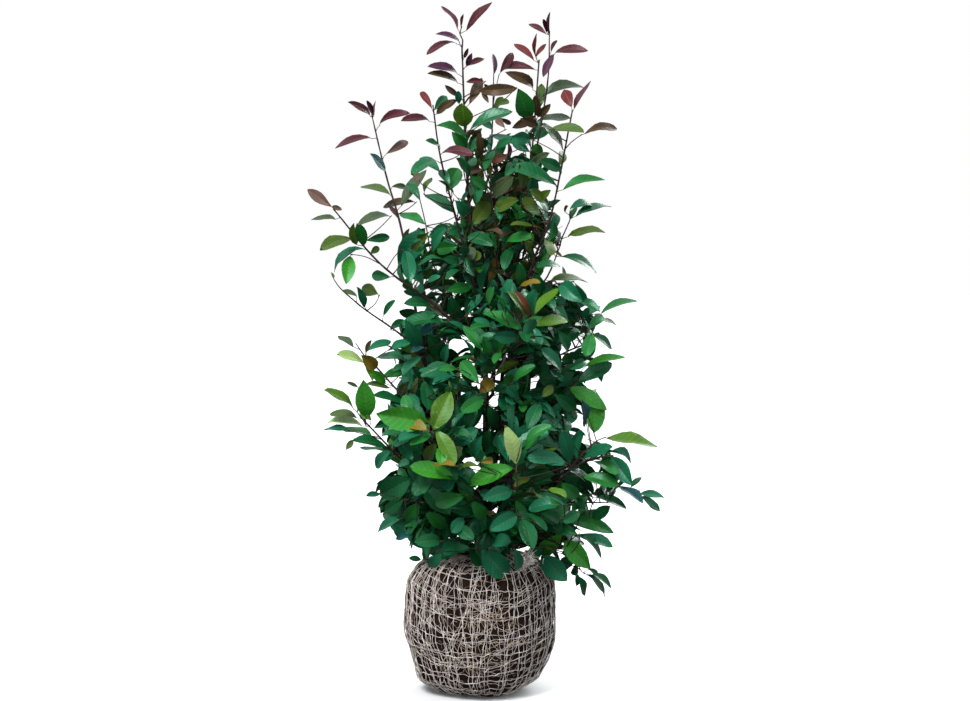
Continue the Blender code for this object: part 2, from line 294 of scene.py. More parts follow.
class LeafHeap:
    # gathers blades of one kind, then makes them one mesh
    def __init__(self):
        self.rows = []

    def add(self, base, tip, normal, *form):
        self.rows.append((*base, *tip, *normal, *form))

    def points(self):
        along, across, under, faces, parts, margin = leafTemplate()
        data = np.array(self.rows)
        base, tip, normal = data[:, 0:3], data[:, 3:6], data[:, 6:9]
        width, arch, fold, twist, wave, close = (data[:, i][:, None] for i in range(9, 15))
        length = np.linalg.norm(tip - base, axis=1)[:, None]
        ahead = (tip - base) / length
        normal = normal - ahead * np.sum(ahead * normal, axis=1)[:, None]
        normal /= np.linalg.norm(normal, axis=1)[:, None]
        side = np.cross(ahead, normal)
        rise = leafShape["baseFullness"]
        widest = rise / (rise + close)
        outline = along ** rise * (1 - along) ** close / (widest ** rise * (1 - widest) ** close)
        half = 0.5 * width * np.maximum(outline, leafShape["bluntness"])
        turn = twist * (along - leafShape["untwisted"])
        spread = half * across
        lift = half * (fold * np.abs(across) - leafShape["roll"] * across ** 2)
        high, closeness, shift = leafShape["waveForm"]
        lift = lift + wave * width * high * np.abs(across) * np.sin(closeness * along + shift * wave)
        lift = lift - under * (leafShape["thickness"] + leafShape["midThickness"] * outline)
        bow = arch * length * np.sin(np.pi * along ** leafShape["archTop"])
        x = spread * np.cos(turn) - lift * np.sin(turn)
        z = spread * np.sin(turn) + lift * np.cos(turn) + bow
        placed = (base[:, None, :] + ahead[:, None, :] * (length * along)[:, :, None]
                  + side[:, None, :] * x[:, :, None] + normal[:, None, :] * z[:, :, None])
        count = len(self.rows)
        allFaces = faces[None, :, :] + (np.arange(count) * len(along))[:, None, None]
        flat = np.tile(np.stack([across, along], axis=1), (count, 1))
        parts, margin = np.tile(parts, count), np.tile(margin, count)
        return placed.reshape(-1, 3), allFaces.reshape(-1, 4), parts, margin, flat


def meshFromArrays(name, points, faces, materials, parts=None, margin=None, flat=None):
    mesh = bpy.data.meshes.new(name)
    mesh.vertices.add(len(points))
    mesh.vertices.foreach_set("co", np.asarray(points, dtype=np.float32).ravel())
    corners = faces.shape[1]
    mesh.loops.add(faces.size)
    mesh.loops.foreach_set("vertex_index", faces.ravel().astype(np.int32))
    mesh.polygons.add(len(faces))
    mesh.polygons.foreach_set("loop_start", np.arange(0, faces.size, corners, dtype=np.int32))
    for material in materials:
        mesh.materials.append(material)
    if parts is not None:
        mesh.polygons.foreach_set("material_index", parts.astype(np.int32))
    mesh.update(calc_edges=True)
    mesh.shade_smooth()
    if flat is not None:
        layer = mesh.uv_layers.new(name="blade")
        layer.data.foreach_set("uv", flat[faces.ravel()].astype(np.float32).ravel())
    if margin is not None:
        # a crisp rim between the two sides of a blade
        ends = np.empty(len(mesh.edges) * 2, dtype=np.int32)
        mesh.edges.foreach_get("vertices", ends)
        ends = ends.reshape(-1, 2)
        mesh.edges.foreach_set("use_edge_sharp", margin[ends[:, 0]] & margin[ends[:, 1]])
    piece = bpy.data.objects.new(name, mesh)
    bpy.context.scene.collection.objects.link(piece)
    return piece


def bladeMaterial(name, colour, rough, gloss, sheen):
    recipe = Recipe(name)
    mottle = recipe.noise(*bladeLook["mottle"])
    deep = tuple(bladeLook["deep"] * part for part in colour)
    pale = tuple(min(1.0, bladeLook["pale"] * part) for part in colour)
    times, more = bladeLook["vein"]
    veinColour = tuple(min(1.0, times * part + more) for part in colour)
    veins = sideVeins(recipe)
    shade = recipe.blend(bladeLook["veinShow"] * veins, recipe.blend(mottle, deep, pale), veinColour)
    relief = recipe.noise(*bladeLook["grain"]) - bladeLook["veinDepth"] * veins
    return recipe.finish(Base_Color=shade, Roughness=rough, Specular_IOR_Level=gloss,
                         Specular_Tint=sheen, Normal=recipe.bump(relief, *bladeLook["bump"]))


def sideVeins(recipe):
    # fine lines from the rib towards the margin, leaning to the tip
    flat = recipe.node("ShaderNodeUVMap", {"uv_map": "blade"})
    across = recipe.node("ShaderNodeSeparateXYZ", None, {"Vector": flat}, 0)
    along = recipe.node("ShaderNodeSeparateXYZ", None, {"Vector": flat}, 1)
    phase = along * bladeLook["veins"] - across.combine("ABSOLUTE", across, 0.0) * bladeLook["veinLean"]
    ridge = 1.0 - phase.combine("PINGPONG", phase, 0.5) * 2.0
    return ridge ** bladeLook["veinFineness"]


# twigs
class TubeHeap:
    # gathers round tapering tubes and makes them one mesh
    def __init__(self, sides):
        self.sides = sides
        self.points = []
        self.faces = []

    def add(self, path, radii):
        ring = None
        ahead = (path[1] - path[0]).normalized()
        right = ahead.orthogonal().normalized()
        for i, (place, radius) in enumerate(zip(path, radii)):
            if 0 < i < len(path) - 1:
                ahead = (path[i + 1] - path[i - 1]).normalized()
            elif i:
                ahead = (path[i] - path[i - 1]).normalized()
            right = (right - ahead * right.dot(ahead)).normalized()
            up = ahead.cross(right)
            start = len(self.points)
            for k in range(self.sides):
                angle = 2 * math.pi * k / self.sides
                self.points.append(place + (right * math.cos(angle) + up * math.sin(angle)) * radius)
            if ring is not None:
                for k in range(self.sides):
                    n = (k + 1) % self.sides
                    self.faces.append((ring + k, ring + n, start + n, start + k))
            ring = start
        for ring, flip in ((len(self.points) - self.sides * len(path), True), (ring, False)):
            for k in range(1, self.sides - 2, 2):
                cap = (ring, ring + k, ring + k + 1, ring + k + 2)
                self.faces.append(cap[::-1] if flip else cap)

    def make(self, name, material):
        points = np.array([tuple(point) for point in self.points])
        return meshFromArrays(name, points, np.array(self.faces), [material])


def smoothPath(points, step):
    # evenly stepped points on a smooth curve through the given ones
    points = [Vector(point) for point in points]
    ends = [2 * points[0] - points[1]] + points + [2 * points[-1] - points[-2]]
    path = [points[0]]
    for before, start, end, after in zip(ends, ends[1:], ends[2:], ends[3:]):
        steps = max(1, round((end - start).length / step))
        outWay, inWay = (end - before) / 2, (after - start) / 2
        for number in range(1, steps + 1):
            t = number / steps
            place = start * (2 * t ** 3 - 3 * t ** 2 + 1) + end * (3 * t ** 2 - 2 * t ** 3)
            path.append(place + outWay * (t ** 3 - 2 * t ** 2 + t) + inWay * (t ** 3 - t ** 2))
    return path


def taper(count, thick, thin, slimming=0.5):
    # slimming under 1 loses most of the girth near the foot
    return [thick + (thin - thick) * (i / (count - 1)) ** slimming for i in range(count)]


# trunk, leaders and boughs
trunk = {
    "way": [(0.006, 0, 0.3304), (0.007, 0, 0.380), (0.019, 0, 0.61), (0.012, 0, 0.90), (-0.014, 0, 1.09),
            (-0.029, 0, 1.30), (-0.037, 0, 1.52)],
    "thick": 0.0150,
    "thin": 0.0026,
    "flareRadius": 0.027,
    "flareHeight": 0.050,
}
# each limb: parent, height at which it leaves, thick and thin radius, way points to the tip
limbs = {
    "leader_left": ("trunk", 0.41, 0.0095, 0.0022,
        [(-0.140, 0.04, 0.87), (-0.185, 0.06, 1.11), (-0.223, 0.08, 1.242), (-0.260, 0.10, 1.395)]),
    "leader_right": ("trunk", 0.44, 0.0095, 0.0022,
        [(0.072, 0.05, 0.90), (0.101, 0.07, 1.09), (0.129, 0.09, 1.282), (0.149, 0.11, 1.528)]),
    "leader_far_right": ("trunk", 0.52, 0.0080, 0.0022,
        [(0.095, -0.02, 0.88), (0.129, -0.05, 1.03), (0.173, -0.08, 1.148), (0.221, -0.11, 1.39)]),
    "leader_right_twin": ("leader_right", 1.26, 0.0040, 0.0020,
        [(0.168, 0.08, 1.464), (0.173, 0.07, 1.593)]),
    "stem_centre_left": ("trunk", 0.97, 0.0050, 0.0020,
        [(-0.055, -0.03, 1.149), (-0.089, -0.07, 1.286), (-0.105, -0.10, 1.402)]),
    "stem_centre_right": ("trunk", 0.70, 0.0055, 0.0020,
        [(0.048, 0.02, 0.989), (0.031, 0.05, 1.223), (0.036, 0.08, 1.405)]),
    "bough_left_mid": ("trunk", 0.82, 0.0060, 0.0022,
        [(-0.10, -0.03, 0.93), (-0.23, -0.06, 1.03), (-0.34, -0.08, 1.16)]),
    "bough_left_long": ("leader_left", 0.70, 0.0055, 0.0024,
        [(-0.15, -0.03, 0.83), (-0.28, -0.03, 0.93)]),
    "bough_left_rising": ("trunk", 0.49, 0.0060, 0.0024,
        [(-0.08, -0.05, 0.61), (-0.17, -0.08, 0.71), (-0.25, -0.09, 0.80)]),
    "bough_left_low": ("trunk", 0.38, 0.0065, 0.0024,
        [(-0.08, -0.06, 0.47), (-0.17, -0.10, 0.56), (-0.27, -0.14, 0.67)]),
    "bough_front_left": ("trunk", 0.46, 0.0055, 0.0024,
        [(-0.05, -0.13, 0.53), (-0.09, -0.22, 0.61)]),
    "bough_front_right": ("trunk", 0.40, 0.0055, 0.0024,
        [(0.04, -0.10, 0.43), (0.07, -0.21, 0.54)]),
    "bough_front_upper": ("trunk", 0.65, 0.0045, 0.0022,
        [(0.03, -0.10, 0.76), (0.08, -0.16, 0.88)]),
    "bough_right_up": ("leader_far_right", 0.93, 0.0040, 0.0020,
        [(0.165, -0.03, 1.00), (0.196, -0.02, 1.074)]),
    "bough_right_spread": ("trunk", 0.66, 0.0055, 0.0024,
        [(0.12, 0.04, 0.75), (0.20, 0.04, 0.81), (0.27, 0.04, 0.84)]),
    "bough_right_low": ("trunk", 0.43, 0.0060, 0.0024,
        [(0.12, -0.05, 0.48), (0.22, -0.10, 0.55), (0.29, -0.12, 0.58)]),
    "bough_right_out": ("bough_right_low", 0.47, 0.0035, 0.0020,
        [(0.19, -0.02, 0.46), (0.31, -0.04, 0.46)]),
    "bough_right_drop": ("trunk", 0.365, 0.0050, 0.0022,
        [(0.10, -0.05, 0.385), (0.18, -0.10, 0.375), (0.23, -0.12, 0.34)]),
    "bough_back_left": ("trunk", 0.56, 0.0060, 0.0022,
        [(-0.05, 0.10, 0.68), (-0.09, 0.19, 0.82), (-0.04, 0.20, 0.96)]),
    "bough_back_right": ("trunk", 0.60, 0.0060, 0.0024,
        [(0.08, 0.10, 0.74), (0.12, 0.19, 0.88)]),
    "bough_back_low_left": ("trunk", 0.39, 0.0060, 0.0024,
        [(-0.07, 0.09, 0.44), (-0.15, 0.19, 0.51)]),
    "bough_back_low_right": ("trunk", 0.42, 0.0060, 0.0024,
        [(0.08, 0.08, 0.46), (0.16, 0.17, 0.52)]),
}
limbShape = {
    "step": 0.018,
    "collarReach": 2.4,     # a limb leaves square for this many parent radii
    "collarRise": 0.8,      # and rises by this share of that
    "bevelResolution": 4,
    "merge": 0.00002,
}
bark = {
    "ridge": (220, 38, 0.00035),    # closeness round and along the limb, and height
    "swelling": (60, 0.0005),
    "room": (0.0006, 0.2),  # the mesh is thinner by this, or by this share of its radius, before the relief
    "streaks": (60.0, 5.0, 0.6, (1.0, 1.0, 0.22)),
    "dots": (420.0, 2.0),
    "dotShare": 0.5,
    "gloss": 0.25,
    "bump": (0.5, 0.0012),
    # dark and light colour and roughness, old and young
    "old": ((0.007, 0.003, 0.004), (0.046, 0.021, 0.019), 0.62),
    "young": ((0.009, 0.004, 0.005), (0.044, 0.019, 0.016), 0.5),
}
limbPaths = {}      # name: (points, radii)


def atHeight(path, height):
    for low, high in zip(path, path[1:]):
        if low.z <= height <= high.z:
            return low.lerp(high, (height - low.z) / (high.z - low.z))
    return path[-1]


def planLimbs():
    path = smoothPath(trunk["way"], limbShape["step"])
    radii = taper(len(path), trunk["thick"], trunk["thin"])
    foot = path[0].z
    for i, place in enumerate(path):
        near = max(0.0, 1.0 - (place.z - foot) / trunk["flareHeight"])
        radii[i] += (trunk["flareRadius"] - trunk["thick"]) * near ** 2
    limbPaths["trunk"] = (path, radii)
    for name, (parent, height, thick, thin, way) in limbs.items():
        parentPath, parentRadii = limbPaths[parent]
        start = atHeight(parentPath, height)
        reach = parentRadii[nearestOn(parentPath, start)] * limbShape["collarReach"]
        outward = Vector(way[0]) - start
        outward.z = 0
        collar = start + outward.normalized() * reach
        collar.z += limbShape["collarRise"] * reach
        path = smoothPath([start, collar] + way, limbShape["step"])
        limbPaths[name] = (path, taper(len(path), thick, thin))


def nearestOn(path, place):
    return min(range(len(path)), key=lambda i: (path[i] - place).length)


def pushOut(mesh, relief):
    # moves each point along its normal by what relief says of its place
    moved = [vertex.co + vertex.normal * relief(vertex.co) for vertex in mesh.vertices]
    mesh.vertices.foreach_set("co", np.array(moved, dtype=np.float32).ravel())
    mesh.update()


def barkRelief(place):
    around, along, height = bark["ridge"]
    ridge = noise.noise(Vector((place.x * around, place.y * around, place.z * along)))
    closeness, swelling = bark["swelling"]
    return height * ridge + swelling * noise.noise(place * closeness)


def makeLimb(name, material):
    # a curve with its girth along it, turned into a mesh and given ridges and swellings
    path, radii = limbPaths[name]
    bpy.ops.object.select_all(action="DESELECT")
    bpy.ops.curve.primitive_nurbs_path_add()
    piece = bpy.context.object
    piece.name = "bark_" + name
    curve = piece.data
    curve.splines.clear()
    curve.bevel_depth = 1.0
    curve.bevel_resolution = limbShape["bevelResolution"]
    curve.use_fill_caps = True
    spline = curve.splines.new("POLY")
    spline.points.add(len(path) - 1)
    most, share = bark["room"]
    for point, place, radius in zip(spline.points, path, radii):
        point.co = (*place, 1.0)
        point.radius = radius - min(most, share * radius)
    bpy.ops.object.convert(target="MESH")
    piece = bpy.context.object
    bpy.ops.object.mode_set(mode="EDIT")
    bpy.ops.mesh.select_all(action="SELECT")
    bpy.ops.mesh.remove_doubles(threshold=limbShape["merge"])
    bpy.ops.mesh.normals_make_consistent(inside=False)
    bpy.ops.object.mode_set(mode="OBJECT")
    pushOut(piece.data, barkRelief)
    bpy.ops.object.shade_smooth()
    piece.data.materials.clear()
    piece.data.materials.append(material)
    piece.location = (0, 0, 0)
    return piece


def barkMaterial(name, dark, light, rough):
    recipe = Recipe(name)
    streaks = recipe.noise(*bark["streaks"])
    dots = recipe.noise(*bark["dots"])
    shade = recipe.blend(streaks, dark, light)
    relief = streaks + bark["dotShare"] * dots
    return recipe.finish(Base_Color=shade, Roughness=rough, Specular_IOR_Level=bark["gloss"],
                         Normal=recipe.bump(relief, *bark["bump"]))


# the shoots that stand out of the crown
# depth: metres behind the trunk's plane; stem: pixels from hidden foot to tip;
# leaves: blade base x, y, blade tip x, y and seen width in pixels, kind, arch
shoots = {
    "top": dict(
        limb="trunk", depth=0.0,
        stem=[(466, 131), (465, 102), (463.5, 69), (462, 49), (462.7, 40), (460, 34), (462, 26)],
        leaves=[
            (457.8, 29, 441, 6.5, 5, "burgundy", 0.07), (466, 31, 492, 2, 8, "burgundy", 0.07),
            (461, 27, 463.5, 14, 3, "burgundy", 0.03), (460, 44, 435.6, 34, 5, "purple", 0.14),
            (450.5, 43, 426.4, 54.7, 6, "burgundy", 0.14), (464, 58, 468.5, 48, 4, "burgundy", 0.06),
            (466.6, 66, 472, 53, 6, "purple", 0.06), (467, 66, 484.5, 58.5, 6, "burgundy", 0.06),
            (457.4, 74, 427.5, 66.6, 8, "purple", 0.12), (455, 84, 427.5, 73.4, 7, "umber", 0.11),
            (456.6, 96, 445, 85, 6, "taupe", 0.06), (464.6, 126.5, 462, 103, 20, "limeGreen", 0.06),
            (473.7, 131.5, 512.7, 111.6, 11, "darkGreen", 0.10), (494, 107, 509, 101, 7, "olive", 0.08),
            (479, 91, 517.5, 88.5, 12, "umber", 0.22), (482, 91, 488.5, 103, 5, "umber", 0.05),
            (471, 104, 482, 78, 11, "umber", 0.1), (484, 81, 466, 82, 6, "burgundy", 0.05),
            (515, 88, 500, 95, 4, "burgundy", 0.06), (500, 118, 511, 124, 5, "umber", 0.05),
            (459, 104, 458, 91, 7, "teal", 0.03), (455, 100, 440, 109, 7, "umber", 0.08)]),
    "topThin": dict(
        limb="stem_centre_right", depth=0.08,
        stem=[(493, 190), (493, 145), (493, 109), (493.7, 73.5)],
        leaves=[
            (493.6, 75, 493, 54, 5, "purple", 0.03), (493, 95, 484, 84, 5, "umber", 0.06),
            (493, 112, 503, 97, 6, "olive", 0.06), (493, 130, 481, 117, 9, "darkGreen", 0.06)]),
    "topRight": dict(
        limb="leader_right_twin", depth=0.07,
        stem=[(547, 82), (551, 64), (551, 54), (549, 36)],
        leaves=[
            (549.5, 36, 550, 12, 4, "purple", 0.03), (547, 33.5, 543, 19, 4, "burgundy", 0.03),
            (546.4, 34.4, 528.6, 24, 6, "burgundy", 0.07), (556.7, 55, 588, 51, 8, "burgundy", 0.14),
            (554.5, 55, 543, 77, 8, "purple", 0.06), (551, 52, 557, 40, 4, "burgundy", 0.06)]),
    "redCluster": dict(
        limb="leader_right", depth=0.11,
        stem=[(531, 160), (538, 105), (540, 85), (538, 73), (536, 62)],
        leaves=[
            (534, 60.7, 514, 43.8, 7, "red", 0.06), (535.7, 58, 536.6, 33.5, 4, "red", 0.03),
            (536, 57, 546.4, 43.8, 5, "red", 0.06), (535.7, 70, 500, 70.5, 9, "burgundy", 0.15),
            (500, 73, 513, 53, 9, "burgundy", 0.06), (533, 90, 505, 72, 10, "umber", 0.19),
            (546, 98, 584.4, 87.5, 11, "greyGreen", 0.2), (529, 119, 518, 88.5, 20, "midGreen", 0.06),
            (536, 117, 512, 128, 10, "umber", 0.11), (538, 117, 550.5, 104, 8, "umber", 0.06),
            (538, 121, 571, 118.5, 8, "greyGreen", 0.04), (541, 106, 541.5, 84, 12, "olive", 0.05),
            (538, 117, 535, 95, 9, "umber", 0.05), (533, 140, 548, 128, 10, "darkGreen", 0.06),
            (530, 152, 512, 140, 11, "teal", 0.07)]),
    "farRight": dict(
        limb="leader_far_right", depth=-0.11,
        stem=[(551.4, 216.7), (559.7, 192), (563.5, 175), (566.6, 160), (569.6, 147), (572, 131),
              (571.4, 109)],
        leaves=[
            (571.5, 107, 564, 89.5, 12, "red", 0.06), (574, 109, 591, 81, 6, "burgundy", 0.04),
            (584, 134, 616.7, 129, 9, "umber", 0.14),
            (563.5, 149.7, 541.3, 123.7, 8, "greyGreen", 0.06),
            (550, 129, 584, 132.5, 10, "olive", 0.04), (565.7, 191, 605, 180, 9, "midGreen", 0.11),
            (556.6, 186.5, 512, 166.6, 13, "darkGreen", 0.08),
            (562, 170, 539, 160, 12, "darkGreen", 0.06), (547, 204, 529, 190, 9, "olive", 0.06)]),
    "rightRiser": dict(
        limb="bough_right_up", depth=-0.02,
        stem=[(545, 275), (554.5, 250), (561.6, 239), (569.8, 220), (570.5, 212)],
        leaves=[
            (569.8, 209, 594.3, 204.5, 8, "teal", 0.14), (579, 217, 611.6, 206.5, 8, "darkGreen", 0.1),
            (570, 220, 577, 207, 6, "midGreen", 0.06), (569.8, 237, 605, 232, 9, "olive", 0.11),
            (561.6, 256.5, 596.8, 273.4, 9, "darkGreen", 0.14), (552, 250, 562, 257, 3, "umber", 0.06),
            (558, 213, 568, 206, 5, "olive", 0.10), (551.4, 284, 588, 282.5, 8, "olive", 0.10),
            (575, 283, 583, 307, 12, "teal", 0.06)]),
    "leftTip": dict(
        limb="leader_left", depth=0.10,
        stem=[(404, 233), (401, 220), (393, 199), (389.6, 186), (385.4, 171), (383, 158), (379, 144),
              (376, 130), (373.4, 116.5)],
        leaves=[
            (370.5, 116.5, 347.7, 102, 7, "burgundy", 0.11),
            (373, 115.7, 366.7, 100.4, 5, "burgundy", 0.04),
            (374, 116, 375.5, 100.8, 3, "purple", 0.03), (380.4, 125, 410, 113, 8, "burgundy", 0.14),
            (370.5, 140, 334.8, 148.5, 7, "burgundy", 0.12), (386, 154, 408, 141.4, 9, "taupe", 0.11),
            (385.4, 171.7, 370, 153.4, 8, "blueGrey", 0.06),
            (390, 194.5, 360.5, 186.6, 8, "olive", 0.08), (391.6, 187, 406, 187, 6, "greyGreen", 0.05),
            (415, 202, 383, 207, 8, "umber", 0.08), (400, 220, 388, 205, 5, "taupe", 0.05),
            (403, 206, 426.5, 169.6, 12, "greyGreen", 0.06)]),
    "centreLeft": dict(
        limb="stem_centre_left", depth=-0.10,
        stem=[(455, 205), (445, 172), (440.6, 148), (439, 136), (435, 121), (433, 110)],
        leaves=[
            (432, 109, 421, 92, 7, "red", 0.06), (434, 110, 447, 96, 10, "darkGreen", 0.06),
            (436.4, 114, 454.7, 99, 8, "umber", 0.06), (429.4, 122, 400.7, 121, 7, "burgundy", 0.12),
            (437, 125, 465.5, 139, 10, "midGreen", 0.11),
            (440.6, 154, 474.6, 154.7, 8, "burgundy", 0.14),
            (440, 146, 425.7, 140, 5, "darkGreen", 0.06), (439, 162, 411, 175, 9, "darkGreen", 0.14),
            (446, 192, 458, 168, 17, "midGreen", 0.06), (440, 172, 420, 158, 10, "teal", 0.06)]),
    "centreRight": dict(
        depth=-0.03,
        stem=[(499.5, 245), (495, 226), (493, 209), (488, 175), (483, 160.5)],
        leaves=[
            (480.4, 152, 478.7, 131.5, 8, "umber", 0.06), (483.7, 162, 507.7, 155.5, 9, "salmon", 0.1),
            (483, 169, 465, 172, 7, "taupe", 0.08), (520, 147, 489, 135, 9, "teal", 0.08),
            (472, 226, 489, 201, 17, "olive", 0.06), (492, 198, 514, 176, 14, "greyGreen", 0.06),
            (488, 190, 469, 178, 10, "midGreen", 0.07), (494, 212, 520, 200, 12, "olive", 0.08)]),
    "leftInner": dict(
        depth=0.03,
        stem=[(440, 280), (433, 264), (426, 226), (418, 191.5)],
        leaves=[
            (456, 214, 424.5, 194.5, 12, "darkGreen", 0.07), (425, 224, 400, 214, 10, "midGreen", 0.07),
            (428, 238, 452, 226, 12, "darkGreen", 0.07), (420, 200, 408, 184, 9, "darkGreen", 0.06)]),
    "leftReach": dict(
        limb="bough_left_mid", depth=-0.08,
        stem=[(412, 288), (394, 276), (377, 261), (364.7, 249), (353, 234.7), (341.5, 223), (332, 207)],
        leaves=[
            (332, 207, 307.5, 189.5, 11, "taupe", 0.08), (332, 206, 342, 210, 5, "umber", 0.06),
            (334.8, 221, 311, 220, 6, "greyGreen", 0.06), (349.8, 243, 320, 250, 11, "olive", 0.14),
            (364.7, 244.6, 357, 223, 12, "midGreen", 0.06), (390, 216, 358, 226, 9, "greyGreen", 0.1),
            (364, 249, 334, 272, 8, "teal", 0.2), (350, 256, 346, 284, 14, "brightGreen", 0.05),
            (352, 246, 354, 223, 10, "olive", 0.05), (370, 254, 379, 247, 7, "olive", 0.06),
            (371, 238, 389.6, 237, 9, "darkGreen", 0.08), (390, 277, 372, 275, 11, "darkGreen", 0.07),
            (430.6, 306, 404, 303.5, 10, "darkGreen", 0.07)]),
    "leftLong": dict(
        limb="bough_left_long", depth=-0.03,
        stem=[(417, 345), (407, 339), (390, 327), (375.5, 316.7), (357, 303.5), (341, 289),
              (333.7, 279)],
        leaves=[
            (378, 294, 362, 287, 13, "olive", 0.06), (357, 297, 343, 290, 5, "olive", 0.05),
            (365, 307.6, 356.6, 287, 8, "teal", 0.06), (386.7, 311.6, 395.4, 300, 6, "darkGreen", 0.06),
            (390, 330, 405, 320, 8, "darkGreen", 0.06), (402, 326, 437, 314, 13, "darkGreen", 0.07),
            (400, 336, 430, 331, 12, "teal", 0.07), (333.7, 279, 331, 272, 3, "olive", 0.03)]),
    "leftRise": dict(
        limb="bough_left_rising", depth=-0.08,
        stem=[(406, 400), (395, 390), (375.5, 369), (365, 356.5), (355.6, 343)],
        leaves=[
            (353.6, 347, 337.8, 336, 7, "greyGreen", 0.07),
            (361, 366, 336.7, 354, 8, "paleGreen", 0.07), (366, 354, 371.5, 340, 4, "umber", 0.06),
            (370, 349, 391, 341, 8, "teal", 0.07), (391, 349, 411, 343, 8, "teal", 0.07),
            (405, 359, 376.5, 357.6, 9, "darkGreen", 0.07), (377, 368, 361, 355, 13, "bronze", 0.05),
            (385, 384, 371, 371, 9, "brightGreen", 0.05), (366, 362, 372, 381, 8, "limeGreen", 0.04),
            (390, 388, 366, 384, 6, "olive", 0.03), (404, 402, 373, 395, 9, "darkGreen", 0.02),
            (382, 377, 404, 372, 10, "midGreen", 0.07)]),
    "leftLow": dict(
        limb="bough_left_low", depth=-0.14,
        stem=[(405, 465), (390.6, 451), (377, 435), (366.6, 420), (357, 412)],
        leaves=[
            (354, 409, 324, 390, 8, "limeGreen", 0.08),
            (367, 418, 363.6, 379.5, 20, "brightGreen", 0.06),
            (373, 419, 361, 409, 10, "limeGreen", 0.05), (357, 418, 330, 414, 8, "olive", 0.07),
            (360, 427, 328, 422, 9, "paleGreen", 0.07), (350, 431, 324, 429, 6, "teal", 0.07),
            (372, 436, 340, 430, 7, "brightGreen", 0.05), (353, 440, 346, 450, 6, "olive", 0.06),
            (386, 447, 352, 440, 10, "darkGreen", 0.06), (382, 454, 360, 448, 5, "midGreen", 0.05),
            (358, 387, 347, 383, 4, "greyGreen", 0.04), (393, 456, 376, 458, 9, "teal", 0.06),
            (366, 426, 364, 418, 3, "red", 0.03), (374, 428, 392, 419, 10, "darkGreen", 0.07)]),
    "frontLeft": dict(
        limb="bough_front_left", depth=-0.27,
        stem=[(462, 468), (446, 450), (436, 438), (427, 427)],
        leaves=[
            (429, 424, 376, 413.5, 24, "brightGreen", 0.06),
            (433, 430, 451, 391, 21, "limeGreen", 0.04), (436, 430, 455, 465, 15, "limeGreen", 0.06),
            (437, 442, 426, 464, 11, "olive", 0.06), (441, 446, 442, 466, 11, "brightGreen", 0.06),
            (456, 480, 409, 467, 15, "brightGreen", 0.07), (424, 434, 397, 441, 9, "teal", 0.08),
            (431, 434, 410, 446, 10, "midGreen", 0.07),
            (465.5, 495.5, 434.7, 503, 16, "midGreen", 0.06)]),
    "frontRight": dict(
        limb="bough_front_right", depth=-0.25,
        stem=[(517, 515), (517, 490), (516, 470)],
        leaves=[
            (516.4, 464, 505.7, 425, 15, "paleGreen", 0.04),
            (514.6, 468, 468, 486, 17, "brightGreen", 0.07), (512, 491, 482, 500, 15, "teal", 0.07),
            (513, 487.5, 530, 478, 8, "olive", 0.06), (517, 515, 489, 531, 16, "teal", 0.07),
            (562, 505, 529, 507, 14, "midGreen", 0.07), (566, 465, 526, 458, 12, "teal", 0.07),
            (523, 519, 532, 550, 13, "darkGreen", 0.06)]),
    "frontUpper": dict(
        limb="bough_front_upper", depth=-0.19,
        stem=[(509, 349), (526, 333), (530.7, 319.5)],
        leaves=[
            (528, 318, 507, 291.6, 10, "limeGreen", 0.06), (529, 317, 513, 290, 7, "salmon", 0.06),
            (532.5, 316, 538, 291, 9, "teal", 0.06), (535, 314, 558.4, 288, 9, "limeGreen", 0.06),
            (533.4, 327, 568, 320, 11, "limeGreen", 0.08),
            (522.7, 331, 482.5, 312, 12, "midGreen", 0.08), (516, 342, 493, 336, 13, "teal", 0.07),
            (479, 383, 461, 361, 14, "midGreen", 0.06), (497, 377, 519, 362, 10, "olive", 0.07),
            (492, 380, 479, 393, 14, "bronze", 0.06), (484, 398, 460, 412, 14, "midGreen", 0.07)]),
    "rightSpread": dict(
        depth=0.04,
        stem=[(570, 330), (586, 316), (600, 313.7)],
        leaves=[
            (600.7, 314, 637.8, 301, 8, "midGreen", 0.1), (594, 326, 616.5, 325, 6, "olive", 0.05),
            (592, 335, 612, 349, 8, "darkGreen", 0.08)]),
    "rightElbow": dict(
        depth=-0.03,
        stem=[(541, 428), (554, 406), (566, 391), (574, 384), (582, 372)],
        leaves=[
            (584, 367, 625.5, 357.5, 8, "brightGreen", 0.07),
            (577, 383.5, 612, 363, 15, "darkGreen", 0.06),
            (569, 387, 607, 410.5, 16, "brightGreen", 0.04),
            (596.5, 392, 594, 433, 20, "brightGreen", 0.03),
            (581, 402, 584, 427, 8, "blueGrey", 0.06)]),
    "rightLow": dict(
        girth=0.0034, depth=-0.12,
        stem=[(561, 479.5), (575.7, 461.6), (593.6, 443), (606, 437)],
        leaves=[
            (606, 438, 658, 447, 12, "limeGreen", 0.02), (583, 459, 613, 447, 10, "teal", 0.07),
            (577, 460, 580, 430, 11, "teal", 0.06), (570, 463, 560.5, 429.5, 14, "teal", 0.06),
            (611, 457, 633, 486, 17, "teal", 0.04), (594, 461, 618, 475, 9, "midGreen", 0.07),
            (582, 476, 620, 486, 13, "midGreen", 0.06)]),
    "rightOut": dict(
        limb="bough_right_out", depth=-0.05,
        stem=[(560, 505), (590, 497), (618, 487), (640, 491)],
        leaves=[
            (631, 487.5, 641.8, 477, 6, "darkGreen", 0.06), (618.6, 487, 643, 503, 9, "blueGrey", 0.05),
            (640, 499, 660, 511, 9, "teal", 0.04), (640, 493, 664, 498, 8, "teal", 0.05),
            (593.6, 496, 626.6, 509, 8, "darkGreen", 0.07),
            (574, 497, 585.5, 510.7, 8, "darkGreen", 0.06),
            (591.8, 519, 610.5, 506, 12, "darkGreen", 0.06), (562, 520, 614, 533, 14, "midGreen", 0.08),
